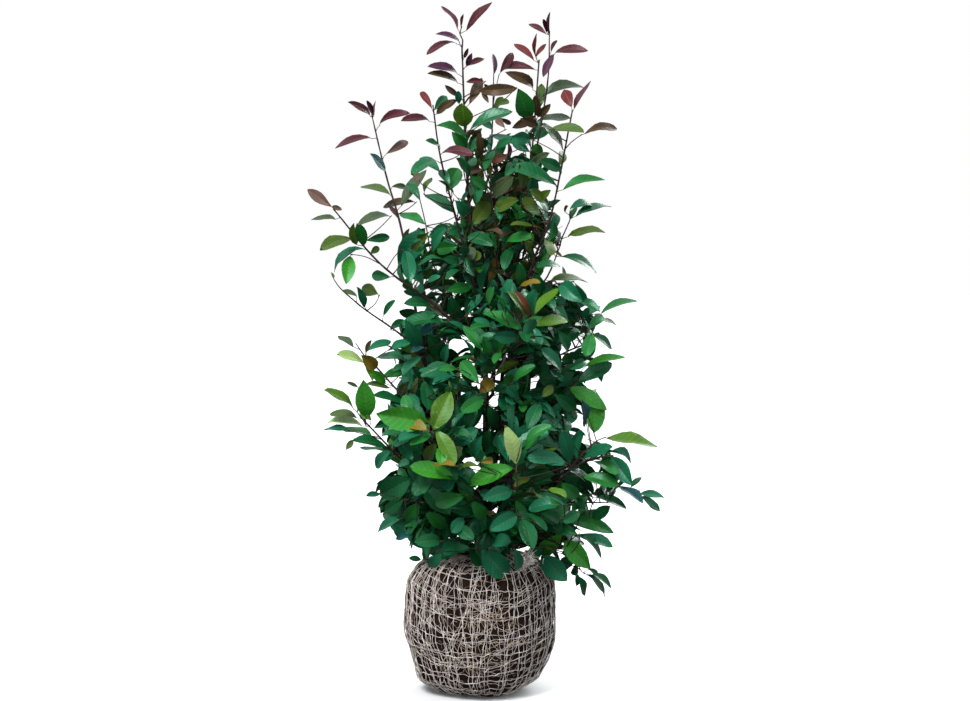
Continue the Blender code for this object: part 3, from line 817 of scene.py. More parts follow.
            (575, 536, 613, 547, 10, "teal", 0.07)]),
    "rightDrop": dict(
        limb="bough_right_drop", depth=-0.12,
        stem=[(550, 552), (568, 568), (582, 572), (592, 575.5)],
        leaves=[
            (579, 576.5, 585, 596, 8, "darkGreen", 0.06), (573, 573.5, 577, 586, 6, "teal", 0.06),
            (588, 575.5, 605.5, 598, 6, "darkGreen", 0.07),
            (592, 574.5, 611.6, 588, 7, "darkGreen", 0.07),
            (588, 567, 598, 574.5, 5, "darkGreen", 0.06), (541, 556, 567, 581, 21, "teal", 0.04),
            # the two lighter blades below are painted light: a lighter kind where too little lamp light
            # reaches under the crown
            (564.7, 532.7, 540, 554, 16, "brightGreen", 0.07),
            (565.7, 538, 591, 569, 19, "brightGreen", 0.07),
            (581, 534.7, 601.4, 558, 8, "darkGreen", 0.07)]),
    "lowFront": dict(
        depth=-0.16,
        stem=[(480, 535), (478, 550), (482, 556)],
        leaves=[
            (480, 549, 508, 577, 24, "teal", 0.04), (470, 548, 440, 558, 12, "darkGreen", 0.08)]),
    "lowLeft": dict(
        depth=-0.1,
        stem=[(446, 500), (425, 502), (405, 500)],
        leaves=[
            (412.5, 478, 380, 496, 24, "darkGreen", 0.06), (380, 494.5, 366, 496, 6, "teal", 0.06),
            (404, 499, 385, 512, 12, "darkGreen", 0.06), (419.6, 502.5, 406, 521, 15, "midGreen", 0.06),
            (401, 519.5, 377, 533, 9, "teal", 0.07), (410.7, 535.5, 396, 539, 7, "blueGrey", 0.07),
            (421, 559.6, 408.5, 558, 6, "darkGreen", 0.06), (446, 527, 426, 512, 14, "midGreen", 0.06),
            (460, 540, 441, 554, 14, "teal", 0.07)]),
}
# single leaves at the front of the closed crown: depth, then the same figures without the arch
innerLeaves = {
    # a dark blade behind the net's frayed ends: painted shade behind them
    "underTuft": (-0.115, [
        (546, 547, 516, 567, 17, "darkGreen")]),
    "foremost": (-0.33, [
        (428, 431, 401, 421, 12, "bronze"), (456, 466, 433, 465, 6, "bronze"),
        (478, 466, 456, 473, 5, "olive"), (480, 462, 493, 460, 7, "bronze")]),
    "upperLeft": (-0.04, [
        (425, 228, 398, 264, 23, "teal"), (404, 250, 410, 284, 14, "teal"),
        (429, 232, 419, 241, 9, "olive"), (421, 240, 411, 252, 8, "olive"),
        (434, 254, 447, 226, 9, "teal"), (459, 246, 437, 249, 14, "midGreen"),
        (446, 291, 471, 287, 12, "midGreen"), (450, 295, 457, 319, 14, "darkGreen"),
        (428, 282, 441, 276, 6, "teal"), (460, 262, 442, 258, 9, "darkGreen"),
        (445, 236, 462, 228, 9, "darkGreen")]),
    "upperMiddle": (-0.06, [
        (482, 292, 489, 257, 9, "teal"), (496, 246, 468, 236, 14, "darkGreen"),
        (506, 243, 533, 237, 9, "midGreen"), (466, 147, 452, 132, 12, "midGreen"),
        (530, 139, 512, 137, 13, "teal"), (496, 148, 512, 139, 8, "darkGreen"),
        (538, 126, 520, 118, 9, "umber"), (505, 128, 496, 118, 7, "taupe"),
        (526, 168, 540, 158, 9, "teal"), (470, 152, 480, 138, 9, "darkGreen"),
        (450, 186, 440, 170, 9, "darkGreen"), (420, 182, 412, 168, 7, "umber"),
        (424, 192, 432, 178, 6, "olive"), (455, 200, 468, 214, 13, "teal"),
        (505, 177, 514, 163, 11, "darkGreen"), (541, 216, 523, 197, 13, "olive"),
        (546, 221, 533, 194, 8, "darkGreen"), (476, 205, 473, 178, 12, "darkGreen"),
        (470, 176, 456, 158, 9, "darkGreen"), (485, 172, 494, 150, 9, "darkGreen"),
        (527, 252, 531, 232, 10, "olive"), (534, 163, 550, 153, 9, "greyGreen"),
        (500, 222, 505, 196, 12, "darkGreen"), (520, 190, 519, 164, 9, "olive"),
        (536, 200, 551, 190, 9, "olive"), (504, 272, 512, 246, 12, "darkGreen"),
        (520, 285, 519, 262, 11, "darkGreen")]),
    "upperRight": (-0.10, [
        (535, 269, 560, 266, 8, "darkGreen"), (536, 272, 542, 293, 11, "darkGreen"),
        (561, 284, 583, 302, 17, "teal"), (520, 287, 541, 283, 6, "bronze"),
        (530, 313, 534, 289, 9, "teal"), (583, 318, 589, 307, 7, "teal"),
        (556, 310, 549, 297, 8, "darkGreen"), (581, 302, 600, 312, 9, "darkGreen"),
        (584, 317, 600, 306, 8, "teal"), (588, 329, 603, 315, 10, "midGreen")]),
    "left": (-0.07, [
        (418, 346, 406, 319, 15, "teal"), (418, 335, 432, 325, 9, "blueGrey"),
        (411, 342, 391, 349, 8, "teal"), (425, 348, 411, 351, 6, "blueGrey"),
        (422, 357, 402, 376, 9, "teal"), (406, 366, 392, 372, 6, "darkGreen"),
        (409, 381, 399, 393, 9, "olive"), (445, 322, 400, 325, 12, "darkGreen"),
        (426, 334, 441, 353, 15, "darkGreen"), (449, 343, 444, 363, 9, "teal"),
        (424, 380, 429, 410, 14, "darkGreen"), (409, 394, 420, 405, 8, "teal")]),
    "middle": (-0.15, [
        (461, 359, 473, 382, 15, "midGreen"), (537, 353, 512, 356, 8, "darkGreen"),
        (561, 375, 540, 349, 9, "teal"), (592, 334, 586, 357, 14, "midGreen"),
        (567, 352, 557, 331, 9, "darkGreen"), (585, 361, 569, 369, 10, "darkGreen"),
        (553, 386, 542, 397, 9, "olive"), (554, 394, 576, 410, 14, "darkGreen"),
        (582, 400, 585, 421, 8, "blueGrey"), (519, 398, 506, 387, 9, "teal"),
        (497, 350, 503, 333, 10, "midGreen"), (487, 404, 494, 431, 12, "darkGreen"),
        (472, 356, 462, 338, 5, "darkGreen"), (490, 428, 482, 448, 12, "darkGreen"),
        (540, 404, 527, 430, 14, "darkGreen")]),
    "low": (-0.22, [
        (413, 437, 393, 447, 8, "teal"), (398, 447, 413, 461, 8, "teal"),
        (392, 450, 376, 468, 10, "teal"), (432, 463, 427, 446, 12, "midGreen"),
        (441, 463, 437, 445, 9, "brightGreen"), (475, 458, 482, 435, 10, "teal"),
        (471, 500, 485, 518, 14, "midGreen"), (463, 518, 451, 533, 12, "teal"),
        (480, 491, 497, 503, 10, "teal"), (566, 463, 526, 458, 13, "teal"),
        (557, 474, 531, 482, 12, "darkGreen"), (560, 482, 578, 497, 13, "midGreen"),
        (568, 506, 528, 509, 13, "teal"), (521, 519, 533, 548, 15, "darkGreen"),
        (516, 511, 488, 531, 15, "teal"), (513, 484, 492, 505, 10, "teal"),
        (441, 541, 414, 543, 13, "darkGreen"), (443, 553, 429, 567, 11, "teal"),
        (513, 547, 518, 570, 10, "teal"), (540, 513, 560, 521, 10, "darkGreen"),
        (456, 526, 474, 540, 13, "darkGreen"), (580, 512, 562, 522, 11, "darkGreen"),
        (578, 535, 562, 528, 11, "darkGreen")]),
}

leafHeaps = {kind: LeafHeap() for kind in leafKinds}
twigs = TubeHeap(6)
stalks = TubeHeap(4)
chance = random.Random(11)
claimed = []        # what the planned leaves cover: pixel x, y, radius in pixels, depth

stalkShape = {
    "length": 0.013,
    "girths": (0.0013, 0.0009),
    "foot": 0.009,          # how far below the blade it leaves the twig
    "bend": (0.6, 0.001, 0.0015),       # share of the way to the blade, then how far up the twig and back
    "into": 0.002,          # its end lies this far inside the blade
    "patches": 30.0,
    "colours": ((0.075, 0.020, 0.020), (0.11, 0.09, 0.03)),
}
twigShape = {
    "step": 0.010,
    "side": (0.0016, 0.0010),       # thick and thin radius of a twig that carries one leaf
    "sideBend": (0.5, 0.01),        # share of the way to the blade, and how far back from its line
    "sideEnd": 0.006,       # it ends this far short of the blade
    "lowerFoot": (1.5, 0.03),       # a foot higher than this below its twig's end counts as further off
}
# how the planned shoots and leaves grow
planned = {
    "clear": 0.012,         # a shoot's own points start this far beyond its limb's tip
    "girth": 0.0024,
    "tip": (0.0012, 0.75),  # thin radius and slimming
    "inLine": 0.05,         # a blade that starts nearer its shoot takes the shoot's depth there
    "farStalk": 0.030,      # a blade further off than this gets a twig of its own
    "farTwig": 0.09,        # which may leave any limb, beyond this
    "fold": (0.35, 0.8),
    "lengthen": (1.02, 1.30),       # least and most of a blade's true length over the seen one
    "leastWidth": 0.86,     # of the true width over the usual one
    "edgeOnFold": 0.35,     # how much of its fold a blade seen on edge keeps
    "coverAt": (0.15, 0.35, 0.55, 0.75, 0.92),      # places along a blade that stay in view
    "coverRadius": 0.42,    # of the seen width
    "innerFold": (0.3, 0.75),
    "innerArch": (0.05, 0.14),
    "innerDepth": (-0.02, 0.02),
}


def addLeaf(base, tip, normal, width, kind, arch, fold):
    twist, wave = chance.uniform(*leafShape["twist"]), chance.uniform(*leafShape["wave"])
    close = chance.uniform(*leafShape["tipFullness"])
    leafHeaps[kind].add(base, tip, normal, width, arch, fold, twist, wave, close)


def addStalk(path, base, tip):
    # leaves the twig a little below the blade and bends into its line
    nearest = nearestOn(path, base)
    ahead = (path[min(nearest + 1, len(path) - 1)] - path[max(nearest - 1, 0)]).normalized()
    start = path[nearest] - ahead * stalkShape["foot"]
    into = (tip - base).normalized()
    share, up, back = stalkShape["bend"]
    bend = start.lerp(base, share) + ahead * up - into * back
    thick, thin = stalkShape["girths"]
    stalks.add([start, bend, base + into * stalkShape["into"]], [thick, (thick + thin) / 2, thin])


def shootStem(shoot):
    # a shoot at a limb's end carries on from it; any other leaves the nearest limb
    own = [spot(x, y, shoot["depth"]) for x, y in shoot["stem"]]
    if "limb" in shoot:
        path = limbPaths[shoot["limb"]][0]
        onward = (path[-1] - path[-3]).normalized()
        beyond = [place for place in own if (place - path[-1]).dot(onward) > planned["clear"]]
        if beyond:
            path = path + smoothPath([path[-1]] + beyond, twigShape["step"])[1:]
        return path, len(limbPaths[shoot["limb"]][0]) - 1
    foot = footFor(own[0], limbSpots(), own[0].z)
    return smoothPath([foot[0]] + own, twigShape["step"]), 0


def limbSpots():
    return [(place, radius) for path, radii in limbPaths.values() for place, radius in zip(path, radii)]


def footFor(tip, spots, highest):
    # the nearest place on a limb, a lower one for choice
    weight, below = twigShape["lowerFoot"]

    def cost(item):
        return (item[0] - tip).length + weight * max(0.0, item[0].z - highest + below)

    return min(spots, key=cost)


def nearer(path, base):
    # draws a blade's foot in to a stalk's length from its twig
    nearest = path[nearestOn(path, base)]
    gap = base - nearest
    return nearest + gap * min(1.0, stalkShape["length"] / max(gap.length, 0.001))      # never by nought


def growPlannedShoots():
    for shoot in shoots.values():
        path, grown = shootStem(shoot)
        if len(path) - grown > 2:
            thick = shoot.get("girth", planned["girth"])
            if "limb" in shoot:
                thick = limbPaths[shoot["limb"]][1][-1]
            twigs.add(path[grown:], taper(len(path) - grown, thick, *planned["tip"]))
        for *edges, kind, arch in shoot["leaves"]:
            x0, y0 = edges[:2]
            nearest = path[nearestOn(path, spot(x0, y0, shoot["depth"]))]
            inLine = (nearest - spot(x0, y0, nearest.y)).length < planned["inLine"]
            depth = nearest.y if inLine else shoot["depth"]
            base, tip, normal, width, flatness = plannedBlade(edges, depth, kind)
            branch = path
            away = (base - path[nearestOn(path, base)]).length
            if away > planned["farStalk"]:
                own = [(place, 0.0) for place in path]
                branch = sideTwig(base, tip, own if away < planned["farTwig"] else own + limbSpots())
            else:
                base = nearer(path, base)
            addLeaf(base, tip, normal, width, kind, arch, chance.uniform(*planned["fold"]) * flatness)
            addStalk(branch, base, tip)


def sideTwig(base, tip, spots):
    foot = footFor(base, spots, base.z)[0]
    into = (tip - base).normalized()
    share, back = twigShape["sideBend"]
    bend, end = foot.lerp(base, share) - into * back, base - into * twigShape["sideEnd"]
    path = smoothPath([foot, bend, end], twigShape["step"])
    twigs.add(path, taper(len(path), *twigShape["side"]))
    return path


def plannedBlade(edges, depth, kind):
    # a leaf's hidden slant in depth comes from its true length, its roll from its true width
    x0, y0, x1, y1, seenWidth = edges
    seen = math.hypot(x1 - x0, y1 - y0) * pixel
    least, most = planned["lengthen"]
    length = max(seen * least, min(leafShape["length"], seen * most))
    slant = math.sqrt(length ** 2 - seen ** 2) * chance.choice((-1.0, 1.0))
    if depth + slant < cadBox[0][1] - crown["spill"]:
        slant = -slant
    base = spot(x0, y0, depth)
    tip = spot(x1, y1, depth + slant)
    ahead = (tip - base).normalized()
    toEye = (eye - base).normalized()
    facing = (toEye - ahead * toEye.dot(ahead)).normalized()
    aside = ahead.cross(facing)
    share = leafShape["youngWidthShare" if kind in youngKinds else "widthShare"]
    width = max(seenWidth * pixel, length * share * planned["leastWidth"])
    roll = math.acos(min(1.0, seenWidth * pixel / width))
    upward = 1.0 if aside.z > 0 else -1.0
    for share in planned["coverAt"]:
        x, y = x0 + (x1 - x0) * share, y0 + (y1 - y0) * share
        claimed.append((x, y, seenWidth * planned["coverRadius"], depth + slant * share))
    normal = facing * math.cos(roll) + aside * math.sin(roll) * upward
    kept = planned["edgeOnFold"]
    return base, tip, normal, width, kept + (1 - kept) * math.cos(roll)


def growInnerLeaves():
    # each on a twig of its own from the nearest limb
    spots = limbSpots()
    for depth, leaves in innerLeaves.values():
        for *edges, kind in leaves:
            own = depth + chance.uniform(*planned["innerDepth"])
            base, tip, normal, width, flatness = plannedBlade(edges, own, kind)
            fold = chance.uniform(*planned["innerFold"]) * flatness
            addLeaf(base, tip, normal, width, kind, chance.uniform(*planned["innerArch"]), fold)
            addStalk(sideTwig(base, tip, spots), base, tip)


# the shoots that fill the crown
crown = {
    "leavesPerLitre": 21.0,
    "leavesPerShoot": 4.5,
    "reach": 0.84,          # how near its mass's skin a shoot may end
    "inmost": 0.12,         # the least random share of the reach, before its power
    "crowding": 0.45,       # that power: under 1 ends more shoots near the skin
    "jitter": (-0.4, 0.4),
    "turn": math.radians(137.5),
    "spill": 0.012,         # how far a leaf's tip may pass the frame's box
    "inside": 0.55,         # a shoot that ends further in than this has inside leaves
    "upper": 1.08,          # and one that ends higher than this has upper ones
    # the closed part of the crown in pixels: y, left edge and right edge
    "outline": ((118, 470, 552), (140, 438, 566), (160, 418, 565), (180, 402, 564), (200, 400, 562),
                (213, 412, 564), (225, 400, 566), (245, 396, 564), (262, 394, 562), (285, 404, 574),
                (305, 398, 592), (325, 388, 602), (345, 384, 602), (362, 394, 602), (392, 398, 604),
                (404, 382, 606), (422, 379, 606), (440, 382, 612), (460, 374, 630), (480, 374, 638),
                (502, 374, 640), (520, 386, 602), (545, 404, 606), (562, 410, 596), (585, 414, 592)),
    # how far down the leaves hang over the ball: pixel x and y
    "hem": ((400, 566), (440, 566), (443, 556), (474, 556), (478, 577), (511, 577), (515, 566), (540, 566),
            (543, 581), (610, 585)),
    "noHem": 600,           # the same elsewhere
    # where the sky shows through: pixel x, y and the two half widths
    "sky": ((546, 195, 10, 12), (510, 128, 15, 5), (477, 112, 7, 14), (442, 216, 13, 5), (411, 217, 11, 11),
            (510, 103, 8, 12), (419, 309, 12, 5), (549, 274, 9, 6), (377, 414, 6, 11), (388, 469, 6, 8),
            (393, 336, 8, 5), (443, 140, 5, 8), (394, 380, 5, 7), (590, 465, 8, 4), (391, 263, 5, 11),
            (390, 393, 8, 5), (546, 144, 8, 5), (600, 432, 6, 8), (551, 155, 6, 6), (541, 136, 5, 7),
            (594, 385, 8, 4), (486, 132, 4, 7), (397, 316, 7, 4), (433, 159, 5, 5), (452, 160, 4, 6),
            (513, 155, 5, 5), (433, 181, 4, 5), (419, 551, 5, 6), (577, 425, 8, 6), (463, 347, 12, 5),
            (460, 193, 5, 5), (501, 380, 5, 2), (531, 386, 3, 8), (462, 398, 4, 4), (469, 461, 3, 2),
            (470, 528, 2, 3), (441, 532, 4, 2), (575, 347, 5, 6), (561, 353, 4, 6), (574, 371, 3, 3)),
    # room kept round a leaf: share of its width, pixels at its ends, and how much of it at the sky
    "room": (0.3, 1.0, 0.7),
    "behind": 0.012,        # a leaf this far behind a planned one may cross it
    "tuftRoom": (14.0, -0.105),     # kept free before the net's frayed ends: pixels and depth
}
# short leafy shoots straight off the upper limbs
dressing = {
    "limbs": {"trunk": (0.98, 1.37), "stem_centre_left": (0.98, 1.35), "stem_centre_right": (0.98, 1.37),
              "leader_right": (0.95, 1.36), "leader_right_twin": (0.95, 1.38), "leader_left": (0.95, 1.18),
              "leader_far_right": (0.95, 1.25)},      # between which heights
    "step": 0.013,
    "stepRange": (0.7, 1.3),
    "reach": (0.035, 0.10),
    "rise": (0.6, 2.2),     # upward part of their way, to 1 outward
    "outer": 0.7,           # their sprays are those of a shoot that ends this far out in a mass
}
# one shoot: from foot to tip, and how its leaves stand
# level goes from 0 low on the plant to 1 near its top, age from 0 at a shoot's tip to 1
shootForm = {
    "bend": (0.45, 0.18),   # share of the way, and how much further out
    "levels": (0.40, 0.9),  # height of level 0, and metres up to level 1
    "leafStep": 0.0165,     # metres of twig between leaves
    "stepRange": (0.8, 1.2),
    "leafyLength": 0.125,
    "oldAt": 0.09,          # metres from the tip
    "girth": (0.8, 0.0016, 0.0009, 0.8),        # share of the limb's, thick and thin radius, slimming
    "splay": (24, 46, 16),  # degrees from the twig when young, more when old, less of that at the top
    "splayRange": (-10, 10),
    "droop": (0.08, 0.40),  # when young, and more when old
    "droopRange": (0.5, 1.2),
    "droopAt": (1.25, 0.8),     # times this low down, and less at the top
    "size": 0.93,
    "youngSize": 0.72,
    "sizeRange": (0.72, 1.18),
    "sizeAt": (1.08, 0.18),
    "facing": ((0.55, 0.45), (0.85, -0.45)),    # upward and outward part, low down and how much it changes
    "tilt": ((-0.45, 0.45), (-0.1, 0.3)),       # sideways and up
    "atAxis": 0.02,         # closer to the plant's axis, outward is the leaf's own side
    "ages": (0.34, 0.75),   # where a spray's middling and old leaves start
    "redder": (1.2, 0.5),   # above this height this share of the umber leaves is burgundy
    "widthRange": (0.82, 1.14),
    "slimmer": 0.14,        # at the top
    "arch": (0.04, 0.17),
    "fold": (0.2, 0.75),
}
# young, middling and old leaves of one spray, and how often it comes: low, high and inside
# the shoots inside the crown are dealt the dark sprays most often and the bright ones never: painted shade
# in the crown's depth
sprays = {
    "deep": (("teal", "darkGreen", "darkGreen"), (28, 12, 50)),
    "plain": (("midGreen", "darkGreen", "darkGreen"), (32, 17, 25)),
    "sheen": (("teal", "teal", "darkGreen"), (22, 7, 18)),
    "lively": (("brightGreen", "midGreen", "darkGreen"), (7, 3, 0)),
    "oliveTipped": (("olive", "greyGreen", "darkGreen"), (8, 38, 8)),
    "fresh": (("limeGreen", "brightGreen", "midGreen"), (2, 1, 0)),
    "bronzed": (("bronze", "olive", "midGreen"), (3, 4, 0)),
    "ruddy": (("umber", "olive", "greyGreen"), (0, 21, 0)),
}


def crownEdges(y):
    rows = crown["outline"]
    if not rows[0][0] <= y <= rows[-1][0]:
        return None
    for (top, left0, right0), (foot, left1, right1) in zip(rows, rows[1:]):
        if y <= foot:
            share = (y - top) / (foot - top)
            return left0 + (left1 - left0) * share, right0 + (right1 - right0) * share


def hemAt(x):
    for (left, y0), (right, y1) in zip(crown["hem"], crown["hem"][1:]):
        if left <= x <= right:
            return y0 + (y1 - y0) * (x - left) / (right - left)
    return crown["noHem"]


def skyAt(x, y, room=0.0):
    return any(((x - skyX) / (halfX + room)) ** 2 + ((y - skyY) / (halfY + room)) ** 2 < 1
               for skyX, skyY, halfX, halfY in crown["sky"])


def inSky(place):
    x, y = pixelOf(place)
    edges = crownEdges(y)
    return edges is None or not edges[0] < x < edges[1] or skyAt(x, y)


def leafFits(base, tip, width, cover):
    # keeps to the crown's outline and box, leaves the sky open and the planned leaves in view
    low, high = cadBox
    reach = crown["spill"]
    if any(not low[i] - reach < tip[i] < high[i] + reach for i in range(3)):
        return False
    share, ends, skyShare = crown["room"]
    middle = share * width / pixel
    for share, own in ((0.0, ends), (0.3, middle), (0.6, middle), (0.95, ends)):     # along the blade
        place = base.lerp(tip, share)
        x, y = pixelOf(place)
        edges = crownEdges(y)
        if edges is None or not edges[0] + own < x < edges[1] - own or y + own > hemAt(x):
            return False
        if skyAt(x, y, skyShare * own):
            return False
        near = (cover[:, 0] - x) ** 2 + (cover[:, 1] - y) ** 2 < (cover[:, 2] + own) ** 2
        if np.any(near & (cover[:, 3] > place.y - crown["behind"])):
            return False
    return True


def pickSpray(place, outer):
    column = 2 if outer < crown["inside"] else (1 if place.z > crown["upper"] else 0)
    names = list(sprays)
    return sprays[chance.choices(names, [sprays[name][1][column] for name in names])[0]][0]


def growCrown():
    spots = limbSpots()
    claimed.append((*net["tuft"], *crown["tuftRoom"]))
    cover = np.array(claimed)
    dressLimbs(cover)
    for node in foliageNodes():
        low, high = (Vector(corner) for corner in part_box(node))
        centre, half = (low + high) / 2, (high - low) / 2
        wanted = crown["leavesPerLitre"] * 4 / 3 * math.pi * half.x * half.y * half.z * 1000
        count = max(3, round(wanted / crown["leavesPerShoot"]))
        grown = 0
        for number in range(2 * count):
            if grown >= wanted:
                break
            lift = 1 - 2 * ((number % count) + 0.5) / count
            angle = number * crown["turn"] + chance.uniform(*crown["jitter"])
            flat = math.sqrt(1 - lift * lift)
            outer = crown["reach"] * chance.uniform(crown["inmost"], 1.0) ** crown["crowding"]
            way = Vector((flat * math.cos(angle), flat * math.sin(angle), lift))
            tip = centre + Vector((way.x * half.x, way.y * half.y, way.z * half.z)) * outer
            grown += growShoot(tip, outer, spots, cover)
        print(node, grown, "leaves")


def foliageNodes():
    return sorted(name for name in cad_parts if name.startswith("foliage_"))


def dressLimbs(cover):
    grown = 0
    for name, (low, high) in dressing["limbs"].items():
        path, radii = limbPaths[name]
        nextShoot = low
        for place, radius in zip(path, radii):
            while nextShoot < min(place.z, high):
                nextShoot += dressing["step"] * chance.uniform(*dressing["stepRange"])
                angle = chance.uniform(*anyTurn)
                reach = chance.uniform(*dressing["reach"])
                way = Vector((math.cos(angle), math.sin(angle), chance.uniform(*dressing["rise"])))
                tip = place + way.normalized() * reach
                grown += growShoot(tip, dressing["outer"], [(place, radius)], cover)
    print("leaves on the upper limbs", grown)


def growShoot(tip, outer, spots, cover):
    foot, girth = footFor(tip, spots, tip.z)
    span = tip - foot
    share, outward = shootForm["bend"]
    bend = foot + span * share + Vector((span.x, span.y, 0)) * outward
    path = smoothPath([foot, bend, tip], twigShape["step"])
    if len(path) < 4 or any(inSky(place) for place in path):
        return 0
    tints = pickSpray(tip, outer)
    lowest, rise = shootForm["levels"]
    level = min(1.0, max(0.0, (tip.z - lowest) / rise))
    travelled, nextLeaf, turn, grown, first = 0.0, 0.0, chance.uniform(*anyTurn), 0, None
    for number in range(len(path) - 1, 0, -1):
        after, before = path[number], path[number - 1]
        if travelled >= nextLeaf:
            nextLeaf = travelled + shootForm["leafStep"] * chance.uniform(*shootForm["stepRange"])
            turn += crown["turn"]
            age = min(1.0, travelled / shootForm["oldAt"])
            leaf = placeLeaf(after, (after - before).normalized(), turn, age, level, tints)
            if leafFits(leaf[0], leaf[1], leaf[3], cover):
                addLeaf(*leaf)
                addStalk(path, leaf[0], leaf[1])
                grown += 1
                first = first or number
        travelled += (after - before).length
        if travelled > shootForm["leafyLength"]:
            break
    if grown:
        path = path[:first + 1]
        if len(path) > 2:
            share, thick, thin, slimming = shootForm["girth"]
            twigs.add(path, taper(len(path), min(girth * share, thick), thin, slimming))
    return grown


def placeLeaf(place, ahead, turn, age, level, tints):
    # base, tip, normal, width, kind, arch and fold of one leaf of a spray
    form = shootForm
    right = ahead.orthogonal().normalized()
    out = right * math.cos(turn) + ahead.cross(right) * math.sin(turn)
    young, old, less = form["splay"]
    splay = math.radians(young + (old - less * level) * age + chance.uniform(*form["splayRange"]))
    young, old = form["droop"]
    most, less = form["droopAt"]
    droop = (young + old * age * chance.uniform(*form["droopRange"])) * (most - less * level)
    way = ahead * math.cos(splay) + out * math.sin(splay) + Vector((0, 0, -droop))
    way.normalize()
    young, (most, less) = form["youngSize"], form["sizeAt"]
    grown = young + (1 - young) * age
    length = leafShape["length"] * form["size"] * grown * chance.uniform(*form["sizeRange"])
    length *= most - less * level
    base = place + way * stalkShape["length"]
    outward = Vector((place.x, place.y, 0))
    outward = outward.normalized() if outward.length > form["atAxis"] else out
    (up, moreUp), (away, moreAway) = form["facing"]
    normal = Vector((0, 0, up + moreUp * level)) + outward * (away + moreAway * level)
    sideways, upward = form["tilt"]
    normal += Vector((chance.uniform(*sideways), chance.uniform(*sideways), chance.uniform(*upward)))
    middling, late = form["ages"]
    kind = tints[0 if age < middling else (1 if age < late else 2)]
    height, share = form["redder"]
    if kind == "umber" and place.z > height and chance.random() < share:
        kind = "burgundy"
    width = length * leafShape["widthShare"] * chance.uniform(*form["widthRange"])
    width *= 1.0 - form["slimmer"] * level
    arch, fold = chance.uniform(*form["arch"]), chance.uniform(*form["fold"])
    return base, base + way * length, normal, width, kind, arch, fold


# root ball
soil = {
    "voxel": 0.0045,
    "merge": 0.0001,
    "rounding": 15,         # rounds of smoothing
    "clods": (45, 0.55, 0.006),     # closeness, how far they are sunk, and height
    "crumbs": (190, 0.0016),
    "level": 0.004,         # below this height the underside stays flat
    "foot": (0.080, 0.05),  # below this height the sides stand out, by this share at the floor
    "tuck": (0.085, 0.07, 0.038),       # height, half reach and share of the drawn-in band above the foot
    "shoulder": (0.22, 0.30, 0.05),     # from and to height, and how much wider
    "colours": ((0.005, 0.0025, 0.0022), (0.040, 0.020, 0.016)),
    "patches": (55.0, 6.0, 0.62),
    "contrast": 1.6,
    "grit": (400.0, 3.0),
    "gritShare": 0.4,
    "bump": (0.7, 0.004),
}
net = {
    "middle": (0.006, 0.0, 0.175),
    "seed": 5,
    "strand": 0.00073,      # radius of the main twine
    "thread": 0.00052,      # radius of the fine threads
    "fibre": 0.75,          # girth of a loose fibre over a thread's
    "sides": (5, 4, 3),     # of twine, threads and fibres
    "floorGap": 1.3,        # in twine radii
    "stray": (14, 11, 0.030, 0.35),     # closeness round and down, how far, and the least sine of the fall
    "reachDown": (0.06, 0.88),      # shares of the half turn from top to bottom that strands keep to
    "lift": (9, 0.0012, 0.0022, 0.0002),    # closeness, mean, range and least height over the soil
    "lumps": (110, 0.35),   # closeness and size of the changes of girth
    "girthRange": (0.75, 1.25),
    "frontDepth": -0.17,    # where the ball's front stands
    "meridians": 100,
    "fineMeridians": 74,
    "jitter": (-0.42, 0.42),
    "sway": (0.01, 0.05),
    "swayWaves": 3,         # in one radian of fall
    "slope": 0.10,
    "slopeCentre": 1.5,     # the fall at which a slanting meridian crosses its own angle
    "fineSlope": 3,
    "collar": 0.09,         # the net is drawn in to this share of a half turn at the top
    "collarRange": (0.8, 1.4),
    "meridianFoot": (0.80, 0.87),
    "fineCut": ((0.0, 1.3), (0.2, 1.4)),        # how much shorter fine ones are at the top and at the foot
    "shortest": 0.3,
    "stretch": 0.045,       # angle of one straight stretch
    "hoops": 19,
    "fineHoops": 54,
    "hoopBand": (0.15, 0.70),       # first level and how far on, in half turns
    "hoopJitter": (-0.4, 0.4),
    "hoopLength": (0.8, 2.6),
    "hoopTilt": (0.07, 0.30),       # most of a whole hoop and of a fine one
    "hoopSag": ((2, 0.022), (7, 0.018)),
    "hoopStretch": 0.05,
    "hoopGirth": (0.75, 1.2),
    "sideRise": 0.26,       # how much higher, as an angle, the hoops pass at the sides
    # count, stretches, range of the height, most turn, drop and curl, and girths
    "slants": (400, 8, (-0.72, 0.93), (0.55, 0.35, 0.12), (0.8, 1.5)),
    "fibres": (340, 6, (-0.7, 0.9), (0.25, 0.2, 0.1)),
    "burst": (482, 612),    # a knot on the front that strands run out from, in pixels
    "burstCount": (18, 6),  # strands, and stretches of each
    "burstJitter": (-0.15, 0.15),
    "burstReach": (0.12, 0.30),
    "burstGirth": 1.3,
    "burstFibres": (0.16, 0.13),    # how far the fibres round the knot spread, round and down
    "tuft": (526, 562),     # frayed ends on the rim, in pixels
    "tuftCount": 85,
    "tuftSize": (0.010, 0.024),
    "tuftSpread": ((0, 0.013), (-0.012, 0.012), (0.002, 0.011)),    # sideways, in depth and upward
    "tuftWay": ((-1, 1), (-0.5, 0.3), (-0.6, 0.8)),
    "tuftCurl": (-0.003, 0.003),
    "tuftStep": 0.003,
    "tuftGirth": (1.35, 0.9),
    # where each sort of strand starts in the noise, so that no two strands stray alike
    "starts": {"meridians": 0, "hoops": 300, "slants": 600, "burst": 1000, "fibres": 1400},
    "numberStep": (1.7, 40, 0.9),       # from strand to strand, from round to down, and for the lift
    # dark and light colour
    "twineColours": ((0.38, 0.29, 0.26), (0.92, 0.84, 0.80)),
    "threadColours": ((0.17, 0.115, 0.09), (0.76, 0.64, 0.57)),
    "fibreColours": ((0.13, 0.075, 0.04), (0.62, 0.45, 0.27)),
    "patches": (75.0, 4.0),
    "patchRange": (0.32, 0.62),
    "fray": (700.0, 3.0),
    "bump": (0.6, 0.0008),
}


